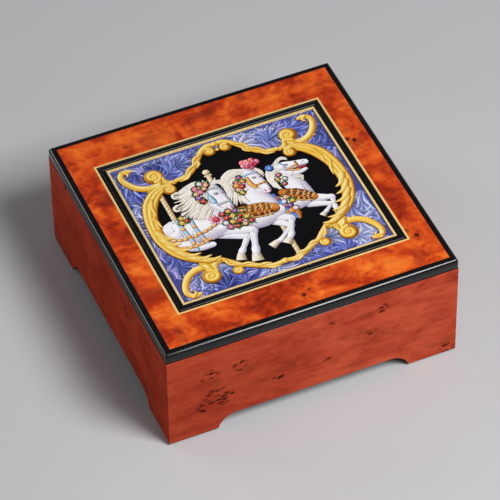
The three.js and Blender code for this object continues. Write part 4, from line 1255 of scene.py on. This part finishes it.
def middle_horse(art, rng):
    """The middle horse, with a tall plume."""
    pole(art, 9.9, -47.5, 6, 2.9)
    leg(art, [(5, -15), (14.6, -25.4), (4.6, -33.2), (2.6, -33.6)], 8.6, (-2.2, -36))
    leg(art, [(7, -13), (17, -20), (12, -31.2), (9.9, -33.8)], 9.8, (6.8, -37.2))
    art.limb([(-10, -12), (2, -12.5), (10, -11.5)], [15, 15.5, 13.5], WHITE, 0.6)
    art.limb([(8, -5), (5.4, 3), (4.2, 12), (6, 20)], [15, 15, 13, 9.4], WHITE, 0.6)
    art.limb([(4.6, 18), (6.6, 13), (9.4, 8.6)], [6.6, 6, 4.2], WHITE, 0.5)
    art.limb([(8.2, 22.8), (10.2, 18), (12.2, 11.6), (13.2, 6.4)], [8.4, 8.8, 6.6, 5.4], WHITE, 0.5)
    art.limb([(7.6, 26), (8.8, 30.4)], [2.8, 0.5], WHITE, 0.45)
    art.limb([(12, 25.6), (14.4, 29.6)], [2.5, 0.5], WHITE, 0.45)
    art.rise()
    art.stroke([(8, 27), (8.7, 29.4)], [1, 0.2], PINK, n=4, dome=0.002)
    fold(art, [(8.2, 15), (9.6, 10), (11.4, 6.6)], [0.2, 0.9, 0.3])
    art.stroke([(12.4, 17), (13.6, 11), (14.6, 7)], [0.4, 1.4, 0.5], WHITE, n=8, dome=0.003, bias=0.4)
    hair(
        art,
        [
            [(6.4, 27.4), (0, 29), (-6, 26), (-9.6, 21)],
            [(5.6, 25), (-2, 24.4), (-7.4, 19.4), (-8.6, 12.6)],
            [(4.8, 21), (-3, 18), (-6.8, 12), (-9.8, 6.6)],
            [(3.6, 15.6), (-2.4, 12), (-4.8, 6.4), (-7.4, 1.2)],
            [(3.4, 10), (-0.4, 6), (0.4, 2.4), (3.6, 0.4)],
        ],
        6, rng, 2.3,
    )
    hair(
        art,
        [
            [(10, 26.4), (13.6, 25.4), (16, 21.6), (16.6, 17.4)],
            [(9.6, 25), (12.4, 23.6), (14.4, 20), (15, 16.2)],
        ],
        4, rng, 1.5,
    )
    art.rise(0.01)
    strap(art, [(4.8, 21.6), (9, 22.2), (13.4, 22)], 1.2, SKY)
    art.limb([(6.4, 19.6), (6.6, 14.4), (8.2, 10.6)], [1.6, 3, 2], AMBER, 0.5)
    strap(art, [(8.4, 11.8), (12.2, 12.4), (15.8, 12.4)], 1.3, TIGER, 2, 0.7)
    eye(art, 10.4, 18, 0.95)
    eye(art, 14, 17.4, 0.55)
    mouth = [(11.2, 4.6), (13.4, 4), (15.2, 4.8)], [0.25, 0.5, 0.25]
    muzzle(art, (11.9, 14.6), 7, mouth, [0.5, 1.1], 1.4)
    saddle_cloth(art, [(-6.5, -4.2), (-0.5, -6.2), (5.6, -7.4), (10.4, -8.4)], [8.4, 11, 11, 8], rng)
    bunch(
        art, [(-0.6, 18.4), (1.2, 14.6), (-1.8, 12.6), (-1.6, 16.2), (2.2, 21.6), (-0.4, 9.6), (3, 18.2)],
        rng, 2,
    )
    for i in range(15):
        a, r = i * 2.4, 5.2 - 0.3 * i
        x, y = 12.0 + 0.85 * r * math.cos(a), 29.6 + 0.62 * r * math.sin(a)
        art.knob(x, y, 2.4 - 0.06 * i, INK, dome=0.002, sides=9, bias=0.2)
        art.knob(x, y, 2.2 - 0.06 * i, (PINK, RED * 1.3)[i % 2], dome=0.002, sides=9, bias=0.1)


def near_horse(art, rng):
    """The left-hand horse, nearest and largest, in sky-blue harness."""
    pole(art, -44.3, 3, 26.5, 2.9)
    art.limb([(-13.2, 30), (-13.2, 24)], [2.9, 2.9], POLE, caps=(False, False))
    art.limb([(-15, 30.4), (-11.4, 30.4)], [1.2, 1.2], POLE, n=3)
    art.knob(-13.2, 33.2, 2.5, INK, dome=0.002)
    art.knob(-13.2, 33.2, 2.2, POLE, dome=0.02, sides=14)
    leg(art, [(-24, -14), (-11.6, -23.4), (-18.6, -32.2), (-20.2, -34)], 10.4, (-22, -38.8))
    leg(art, [(-23, -12), (-6.8, -20), (-11.2, -34), (-12.4, -37.2)], 12, (-13.6, -43))
    art.limb([(-46, -9), (-44.4, -15.4), (-39.6, -19.8), (-32, -21)], [14, 10.5, 6.4, 4.2], WHITE, 0.6)
    art.limb([(-46.5, -3.4), (-38, -7), (-30, -9), (-22, -9)], [17.5, 18.5, 17.5, 15.5], WHITE, 0.7)
    art.knob(-46.5, -3.6, 8.6, WHITE, dome=0.012, sides=20, bias=0.05)
    art.limb([(-22.5, -4), (-24, 4), (-22.6, 12), (-19, 18)], [16, 17, 15, 11], WHITE, 0.7)
    art.limb([(-20.6, 14), (-18.8, 8.6), (-15.8, 3.2)], [8.5, 7.5, 5.2], WHITE, 0.5)
    art.limb([(-16.4, 20.4), (-15, 14), (-13.4, 7), (-12.5, 1.2)], [9.8, 10.6, 8, 6.4], WHITE, 0.6)
    art.limb([(-18.4, 23.6), (-17.6, 28.2)], [2.8, 0.5], WHITE, 0.45)
    art.limb([(-12.6, 23.2), (-10.4, 27)], [2.6, 0.5], WHITE, 0.45)
    art.rise()
    art.stroke([(-18.2, 24.6), (-17.6, 27)], [1, 0.2], PINK, n=4, dome=0.002)
    fold(art, [(-18.4, 12), (-17, 6), (-14.8, 1.6)], [0.2, 1.1, 0.4])
    art.stroke([(-12, 13), (-11.2, 7), (-11, 3.4)], [0.5, 1.8, 0.6], WHITE, n=8, dome=0.003, bias=0.4)
    fold(art, [(-27, -13), (-24.4, -16.4), (-19, -17.6)], [0.2, 0.9, 0.2])
    fold(art, [(-38, -14.6), (-33, -17), (-27, -16.6)], [0.2, 1, 0.2])
    fold(art, [(-45, -11), (-40.4, -11.6), (-38.4, -6)], [0.2, 0.9, 0.2])
    mane = [
        [(-16.6, 24.6), (-22, 27.4), (-29, 26.6), (-35, 24)],
        [(-17.4, 23), (-25, 25), (-33, 21.8), (-38.6, 23.4)],
        [(-18.6, 20), (-26.4, 20.4), (-33.4, 15.6), (-40, 14.2)],
        [(-20, 16.2), (-27.4, 14.2), (-32.6, 8.6), (-38.6, 7)],
        [(-21, 12), (-27.6, 9), (-31, 4), (-35.6, 1.4)],
        [(-21.6, 8), (-26.4, 4.4), (-28.6, 0.6), (-31, -1.4)],
        [(-21, 4.4), (-23.6, 1), (-24.6, -1.2), (-26, -2.6)],
    ]
    hair(art, mane, 6, rng, 2.6)
    for x, y, r, start in ((-36.4, 22.2, 2.7, 60), (-39.2, 12.4, 2.6, 80), (-37.2, 5.6, 2.3, 80)):
        curl = [(r * (1 - i / 9), math.radians(start + 45 * i)) for i in range(8)]
        points = [(x + p * math.cos(a), y + p * math.sin(a)) for p, a in curl]
        art.limb(points, [1.9, 1.8, 1.6, 1.4, 1.1, 0.8, 0.5, 0.2], HAIR, 0.4, under=HAIR * 0.35, bias=0.12)
    hair(
        art,
        [
            [(-13.6, 24.2), (-8.6, 24.2), (-5, 19.4), (-4.4, 12.4)],
            [(-14, 22.6), (-10.4, 21.4), (-7.4, 16), (-6.6, 9.6)],
        ],
        5, rng, 1.9,
    )
    art.rise(0.01)
    strap(art, [(-21, 19.2), (-16.4, 20), (-11.4, 19.2)], 1.3, SKY, 2, 0.6)
    strap(art, [(-19.4, 18.6), (-18.6, 12), (-16.6, 6.2)], 1.2, SKY)
    strap(art, [(-17.2, 6.4), (-13.6, 6.6), (-9.8, 6.8)], 1.3, SKY, 2, 0.6)
    art.limb([(-18.8, 13.6), (-18.4, 10)], [2.8, 3.6], SKY, 0.5)
    eye(art, -14.6, 14.8, 1.05)
    eye(art, -10.8, 14.4, 0.6)
    mouth = [(-14.4, -0.4), (-12.4, -1.2), (-10.4, -0.2)], [0.25, 0.6, 0.25]
    muzzle(art, (-13.6, -10.9), 2.6, mouth, [0.5, 1.2], 1.6)
    strap(art, [(-53.6, -8.6), (-46, -11.2), (-38, -11.2), (-30, -9.4), (-22, -6.4)], 1.9, SKY, 9, 1.3)
    strap(art, [(-43.6, 4.6), (-42.4, -6), (-41.4, -14), (-41.6, -22.2)], 2.4, SKY, 3, 1.25)
    strap(art, [(-36.2, 2), (-36, -6), (-35, -14), (-34.2, -19.6)], 2.4, SKY, 3, 1.25)
    strap(art, [(-50.5, -16), (-44, -18.4), (-37, -18), (-31, -16.4)], 1.7, AMBER, 5, 1.1)
    bunch(art, [(-40.6, 4.8), (-38.2, 2), (-41.4, 1.2)], rng, 2.1)
    bunch(
        art,
        [
            (-24.4, 23), (-20.6, 26), (-17.4, 23.8), (-22.4, 19.6), (-25, 15.6), (-19.4, 21.4),
            (-23.6, 12.2), (-25.4, 19),
        ],
        rng, 2.2,
    )
    for i in range(9):
        art.leaf(-22.8, -4, 4.6, i * 0.7, PINK, 1.7)
    art.rise(0.006)
    art.flower(-22.8, -4, 2, RED, PINK)
    garland = [
        (-18, -1.6), (-14, -0.8), (-10.2, -1.8), (-6.6, -3.4), (-16.8, -5.4), (-12.8, -5), (-8.8, -6.2),
        (-18.6, -8.8), (-14.6, -9.4), (-10.4, -10),
        (-5.8, -8.6), (-17.2, -12.8), (-13, -13.6), (-8.6, -13.6), (-4.6, -12.6),
    ]
    bunch(art, garland, rng, 2)


def draw_horses(floor, z):
    """Three white roundabout horses at full gallop, drawn from the farthest to the nearest."""
    rng = random.Random(5)
    art = Relief(floor, z, 0.0008)
    for horse in (far_horse, middle_horse, near_horse):
        horse(art, rng)
    art.piece("picture_horses")


def picture(half_x, half_y):
    """The painted plate, its foliage, the black field, the horses on it and the gilt border over all."""
    ground, field = TOP - 1.0, TOP - 0.78
    verts, faces = block(-half_x, half_x, -half_y, half_y, RECESS + 0.02, ground)
    plate = add_painted("picture_ground", verts, faces, [(0.06, 0.07, 0.3)] * len(verts))
    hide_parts("picture_plate")
    draw_foliage(half_x, half_y, ground, ground + 0.004)
    outline, _ = catmull(BORDER + mirrored(BORDER)[-2:0:-1] + BORDER[:1], 121)
    rim = [tuple(p) for p in outline[:-1]]
    size = len(rim)
    verts = [(x, y, z) for z in (ground, field) for x, y in rim]
    faces = [(i, (i + 1) % size, size + (i + 1) % size, size + i) for i in range(size)]
    faces += [tuple(reversed(range(size))), tuple(range(size, 2 * size))]
    add_painted("picture_black_field", verts, faces, [(0.002, 0.002, 0.003)] * len(verts))
    draw_horses(field - 0.01, field + 0.004)
    draw_scrolls(ground, TOP - 0.26)


# ------------------------------------------------------------------ soft linings
VOXEL = 2.4
PRESSURE, LAST_FRAME = 4.0, 20
SWELL = 2.2  # how far the cloth may move
SEAT = 2.5  # height of the part that stays on its base
CLEARANCE = 0.12  # clearance from the walls of the bay


def wobble(x, y, seed):
    """A smooth small value between -1 and 1, for uneven fabric."""
    a, b, c = 0.19 * x + 1.7 * seed, 0.23 * y + 0.9 * seed, 0.13 * (x + y) + 2.3 * seed
    return (math.sin(a) + math.sin(b) + math.sin(c)) / 3


def soft_roll(index):
    """A stuffed ring roll: a slack velvet case blown up by cloth simulation in its bay, then seated."""
    node = f"ring_roll_{index}"
    lo, hi = box_mm(node)
    cy, half_w, reach = (lo.y + hi.y) / 2, (hi.y - lo.y) / 2, (hi.x - lo.x) / 2
    rings = []
    for k in range(45):
        share = 2 * k / 44 - 1
        end = min(1.0, (1 - abs(share)) * reach / 6.0)
        size = 0.6 + 0.4 * math.sqrt(max(0.0, 1 - (1 - end) ** 2))
        ring = []
        for i in range(40):
            a = 2 * math.pi * i / 40
            c, d = math.cos(a), math.sin(a)
            z = lo.z + 9.5 + (11.8 * size * d if d > 0 else 9.2 * max(-1.0, 1.5 * d))
            ring.append(
                (
                    (lo.x + hi.x) / 2 + share * (reach - 0.6),
                    cy + (half_w - 0.7) * (0.82 + 0.18 * size) * c, z,
                ),
            )
        rings.append(ring)
    verts, faces = loft(rings)
    name = f"velvet_{node}"
    roll = inflate(name, verts, faces, lo, hi, index)
    piece = register(roll, VELVET, "case", [node], angle=75)


def inflate(name, verts, faces, lo, hi, seed):
    """The shape blown up as cloth with its seat held, then puckered and kept in its bay."""
    case = in_scene(name, mesh_of(name, verts, faces))
    remesh = case.modifiers.new("even", "REMESH")
    remesh.mode, remesh.voxel_size = "VOXEL", VOXEL * MM
    case.data = evaluated(case)
    case.modifiers.clear()
    start = [v.co.copy() for v in case.data.vertices]
    seat = case.vertex_groups.new(name="seat")
    seat.add([v.index for v in case.data.vertices if v.co.z < (lo.z + SEAT) * MM], 1.0, "REPLACE")
    cloth = case.modifiers.new("cloth", "CLOTH")
    how = cloth.settings
    how.quality, how.mass, how.air_damping = 8, 0.001, 0.5
    how.tension_stiffness = how.compression_stiffness = 1.0
    how.shear_stiffness, how.bending_stiffness = 0.33, 0.05
    how.use_pressure, how.uniform_pressure_force = True, PRESSURE
    how.vertex_group_mass = "seat"
    how.effector_weights.gravity = 0.0
    cloth.point_cache.frame_start, cloth.point_cache.frame_end = 1, LAST_FRAME
    for step in range(1, LAST_FRAME + 1):
        SCENE.frame_set(step)
    blown = evaluated(case)
    case.modifiers.clear()
    case.vertex_groups.clear()
    shift = Vector((0, CASE_Y, 0))
    low, high = lo * MM + shift, hi * MM + shift
    margin = CLEARANCE * MM
    for vertex, begin in zip(blown.vertices, start):
        move = vertex.co - begin
        if move.length > SWELL * MM:
            move *= SWELL * MM / move.length
        at = begin + move
        x, z = at.x / MM, at.z / MM
        top = max(0.0, min(1.0, (z - lo.z - 6) / 10))
        edge = min(x - lo.x, hi.x - x)
        waves = 0.5 + 0.5 * math.cos(1.9 * (at.y - low.y) / MM + seed)
        pucker = 0.55 * max(0.0, 1 - edge / 9) * waves + 0.22 * (1 + wobble(x, at.y / MM + 9 * seed, seed))
        at.z -= top * pucker * MM
        for axis in range(3):
            at[axis] = max(low[axis] + margin, min(high[axis] - margin, at[axis]))
        vertex.co = at
    SCENE.frame_set(1)
    case.data = blown
    finer = case.modifiers.new("finer", "SUBSURF")
    finer.levels = finer.render_levels = 1
    case.data = evaluated(case)
    case.modifiers.clear()
    return case


def soft_pad(name, x0, x1, y0, y1, z0, z1, replaces=()):
    """A thin pad with a crowned top whose edges roll down."""
    nx, ny = 30, 34
    verts, faces = [], []
    for top in (1, 0):
        for j in range(ny + 1):
            for i in range(nx + 1):
                u, v = 2 * i / nx - 1, 2 * j / ny - 1
                edge = min(1.0, (1 - max(abs(u), abs(v))) * 9)
                roll = math.sqrt(max(0.0, 1 - (1 - edge) ** 2))
                pull = 1 - 0.006 * (1 - abs(v) ** 4) * (abs(u) > 0.999) - 0.004
                x = (x0 + x1) / 2 + u * pull * (x1 - x0) / 2
                y = (y0 + y1) / 2 + v * (y1 - y0) / 2 * 0.997
                z = z0 + (0.35 + 0.65 * roll) * (z1 - z0) * (0.9 + 0.1 * wobble(x, y, 4)) if top else z0
                verts.append((x, y, min(z, z1)))
    step = (nx + 1) * (ny + 1)
    for j in range(ny):
        for i in range(nx):
            a = j * (nx + 1) + i
            quad = (a, a + 1, a + nx + 2, a + nx + 1)
            faces += [quad, tuple(step + q for q in reversed(quad))]
    rim = list(range(nx + 1)) + [(j + 1) * (nx + 1) - 1 for j in range(1, ny + 1)]
    rim += [ny * (nx + 1) + i for i in reversed(range(nx))] + [j * (nx + 1) for j in reversed(range(1, ny))]
    for a, b in zip(rim, rim[1:] + rim[:1]):
        faces.append((b, a, step + a, step + b))
    piece = add_piece(name, verts, faces, VELVET, "case", "velvet", replaces, angle=60)


def soft_board(node, along):
    """A card divider under velvet, rounded over its top edge."""
    lo, hi = box_mm(node)
    across = 1 - along
    r = (hi[across] - lo[across]) / 2
    mid = (hi[across] + lo[across]) / 2
    rings = []
    for k in range(41):
        s = lo[along] + (hi[along] - lo[along]) * k / 40
        bulge = 1 - 0.1 * (1 - min(1.0, min(k, 40 - k) / 2))
        section = [(mid - r * bulge, lo.z), (mid + r * bulge, lo.z)]
        section += [(mid + px * bulge, hi.z - r + pz) for px, pz in arc(0, 0, r, 0, 180, 8)]
        ring = []
        for c, z in section:
            p = [0, 0, z + (0.1 * wobble(s, z, 2) if z > lo.z else 0)]
            p[along], p[across] = s, c + 0.03 * wobble(s, z, 5)
            ring.append(tuple(p))
        rings.append(ring)
    add_piece(f"velvet_{node}", *loft(rings), VELVET, "case", "velvet", [node], angle=60)


def wall_velvet():
    """The padded card round the walls, from its CAD outline, with a rolled top edge."""
    lo, hi = box_mm("wall_lining")
    out, inn = hi.x, hi.x - 1.0
    room_x, front_y = box_mm("movement_divider")[0].x, box_mm("cross_divider")[0].y
    corner = [
        (0.5 + 0.5 * math.cos(a), hi.z - 0.5 + 0.5 * math.sin(a))
        for a in (math.pi * i / 6 for i in range(1, 6))
    ]
    section = [(0, lo.z), (1, lo.z), (1, hi.z - 0.5), *corner, (0, hi.z - 0.5)]

    def path(r):
        return [(-r, front_y), (-r, -r), (r, -r), (r, r), (room_x, r)]

    rings = []
    for (ox, oy), (ix, iy) in zip(path(out), path(inn)):
        rings.append([(ox + (ix - ox) * s, oy + (iy - oy) * s, z) for s, z in section])
    add_piece("velvet_wall_lining", *loft(rings), VELVET, "case", "velvet", ["wall_lining"], angle=50)


def lid_velvet():
    """The velvet border round the mirror."""
    lo, hi = box_mm("lid_lining")
    width = hi.x - box_mm("lid_mirror")[1].x - 0.3
    half = [(0, hi.z), (0, lo.z + 0.5), (0.03, lo.z + 0.2), (0.1, lo.z + 0.03), (0.3, lo.z)]
    section = half + [(1 - share, z) for share, z in reversed(half)]
    rings = frame_rings(hi.x, hi.y, section, width, width)
    add_piece(
        "velvet_lid_lining", *loft(rings, closed=True), VELVET, "lid", "velvet", ["lid_lining"], angle=60,
    )


# ------------------------------------------------------------------ hardware
SCREW_R, SCREW_H = 1.7, 0.16


def screw_head(name, x, y, z, s, body, turn):
    """A countersunk slotted screw head, lying just proud of its plate; s is 1 facing up, -1 facing down."""
    r, h = SCREW_R, SCREW_H
    profile = [(0.55, -0.55), (0.97, -0.02), (1, 0.0), (0.98, h * 0.5), (0.8, h * 0.85), (0.3, h)]
    rings = turned_rings(x, y, [(r * share, z + s * q) for share, q in profile], 24)
    piece = add_piece(name, *loft(rings), BRASS, body, "brass")
    c, d = math.cos(turn), math.sin(turn)
    slot = [(u * c - v * d, u * d + v * c) for u, v in ((-3, -0.22), (3, -0.22), (3, 0.22), (-3, 0.22))]
    z0, z1 = sorted((z - s * 0.12, z + s * 1.0))
    verts = [(x + u, y + v, q) for q in (z0, z1) for u, v in slot]
    carve(piece, (verts, BOX_FACES))
    piece.data.set_sharp_from_angle(angle=math.radians(35))


def hinge_screws():
    rng = random.Random(3)
    leaves = (("case", 85.6, LID_UNDER - 0.4, 1), ("lid", 81.6, LID_UNDER + 0.1, -1))
    for side, x in HINGES:
        for k, dx in enumerate((-9.5, 0, 9.5)):
            turn = rng.uniform(0, math.pi)
            for more, (body, y, z, s) in enumerate(leaves):
                screw_head(f"hinge_screw_{body}_{side}_{k + 1}", x + dx, y, z, s, body, turn + more)


# Material, eased edge in millimetres, and the CAD nodes that wear them.
CAD_LOOKS = (
    (BOARD, 0.25, "floor_panel"),
    (BLACK, 0.5, "window_frame"),
    (CLEAR, 0.2, "movement_window"),
    (SILVER, 0.3, "lid_mirror"),
    (BRASS_SATIN, 0.12, "hinge_case_leaf_left hinge_case_leaf_right"),
    (BRASS_SATIN, 0.12, "hinge_lid_leaf_left hinge_lid_leaf_right"),
    (BRASS_SATIN, 0.3, "hinge_pin_left hinge_pin_right"),
    (ZINC, 0.3, "bedplate"),
    (BRASS_DULL, 0.2, "barrel_bridge"),
    (BRASS_DULL, 0.15, "governor_bracket"),
    (BRASS_DULL, 0.05, "cylinder_gear governor_wheel"),
    (BRASS_DULL, 0.08, "fan"),
    (BRASS, 0.04, "great_wheel"),
    (BRASS, 0.3, "spring_barrel"),
    (BRASS, 0.35, "winding_key"),
    (BRASS, 0.05, "cylinder"),
    (STEEL, 0.05, "comb cylinder_arbor"),
    (STEEL, 0.15, "comb_screw_1 comb_screw_2 movement_screw_1 movement_screw_2 stop_rod"),
    (STEEL, 0.04, "mainspring"),
    (STEEL, 0.2, "winding_arbor"),
    (STEEL, 0.08, "ratchet_wheel"),
    (STEEL, 0.12, "click"),
    (STEEL, 0.0, "worm"),
)


def dress_cad():
    """Gives the CAD nodes that stay on show their materials and soft edges."""
    for material, ease, names in CAD_LOOKS:
        for node in (NODES[name] for name in names.split()):
            node.data.materials.clear()
            node.data.materials.append(material)
            for polygon in node.data.polygons:
                polygon.use_smooth = True
            node.data.set_sharp_from_angle(angle=math.radians(35))
            if ease:
                soften(node, ease)


# ------------------------------------------------------------------ stage
def make_stage():
    n = Nodes("pale_floor", Roughness=0.75, Specular_IOR_Level=0.25)
    n.put(
        "Base Color",
        n.ramp(n.noise(n.coords(), 0.02, 3.0)[0], (0.3, (0.53, 0.53, 0.54)), (0.7, (0.57, 0.57, 0.58))),
    )
    mesh = bpy.data.meshes.new("floor")
    reach = 6.0
    mesh.from_pydata(
        [(-reach, -reach, 0), (reach, -reach, 0), (reach, reach, 0), (-reach, reach, 0)], [],
        [(0, 1, 2, 3)],
    )
    mesh.materials.append(n.material)
    in_scene("floor", mesh)
    world = bpy.data.worlds.new("studio")
    world.use_nodes = True
    sky = world.node_tree.nodes["Background"].inputs
    sky["Color"].default_value = (0.86, 0.9, 0.97, 1)
    sky["Strength"].default_value = 0.13
    SCENE.world = world
    SCENE.view_settings.view_transform = "Standard"
    centre = (0, 0, 0.05)
    area_light("key", (0.5, -0.85, 1.35), centre, (0.55, 0.55), 21)
    area_light("edge", (0.4, -1.03, 1.11), centre, (0.6, 0.12), 5.5)
    area_light("rim", (-1.05, 1.1, 0.55), centre, (0.9, 0.3), 5.5)


make_camera()
make_stage()
case_walls()
felt_feet()
picture(*lid_shell())
for roll in (1, 2, 3):
    soft_roll(roll)
pad_lo, pad_hi = box_mm("well_floor_pad")
well_lo, well_hi = box_mm("well_divider")
soft_pad(
    "velvet_pad_left", pad_lo.x, well_lo.x - 0.2, pad_lo.y, pad_hi.y, pad_lo.z, pad_hi.z,
    ["well_floor_pad"],
)
soft_pad("velvet_pad_right", well_hi.x + 0.2, pad_hi.x, pad_lo.y, pad_hi.y, pad_lo.z, pad_hi.z)
soft_board("cross_divider", 0)
soft_board("movement_divider", 1)
soft_board("well_divider", 1)
wall_velvet()
lid_velvet()
hinge_screws()
dress_cad()
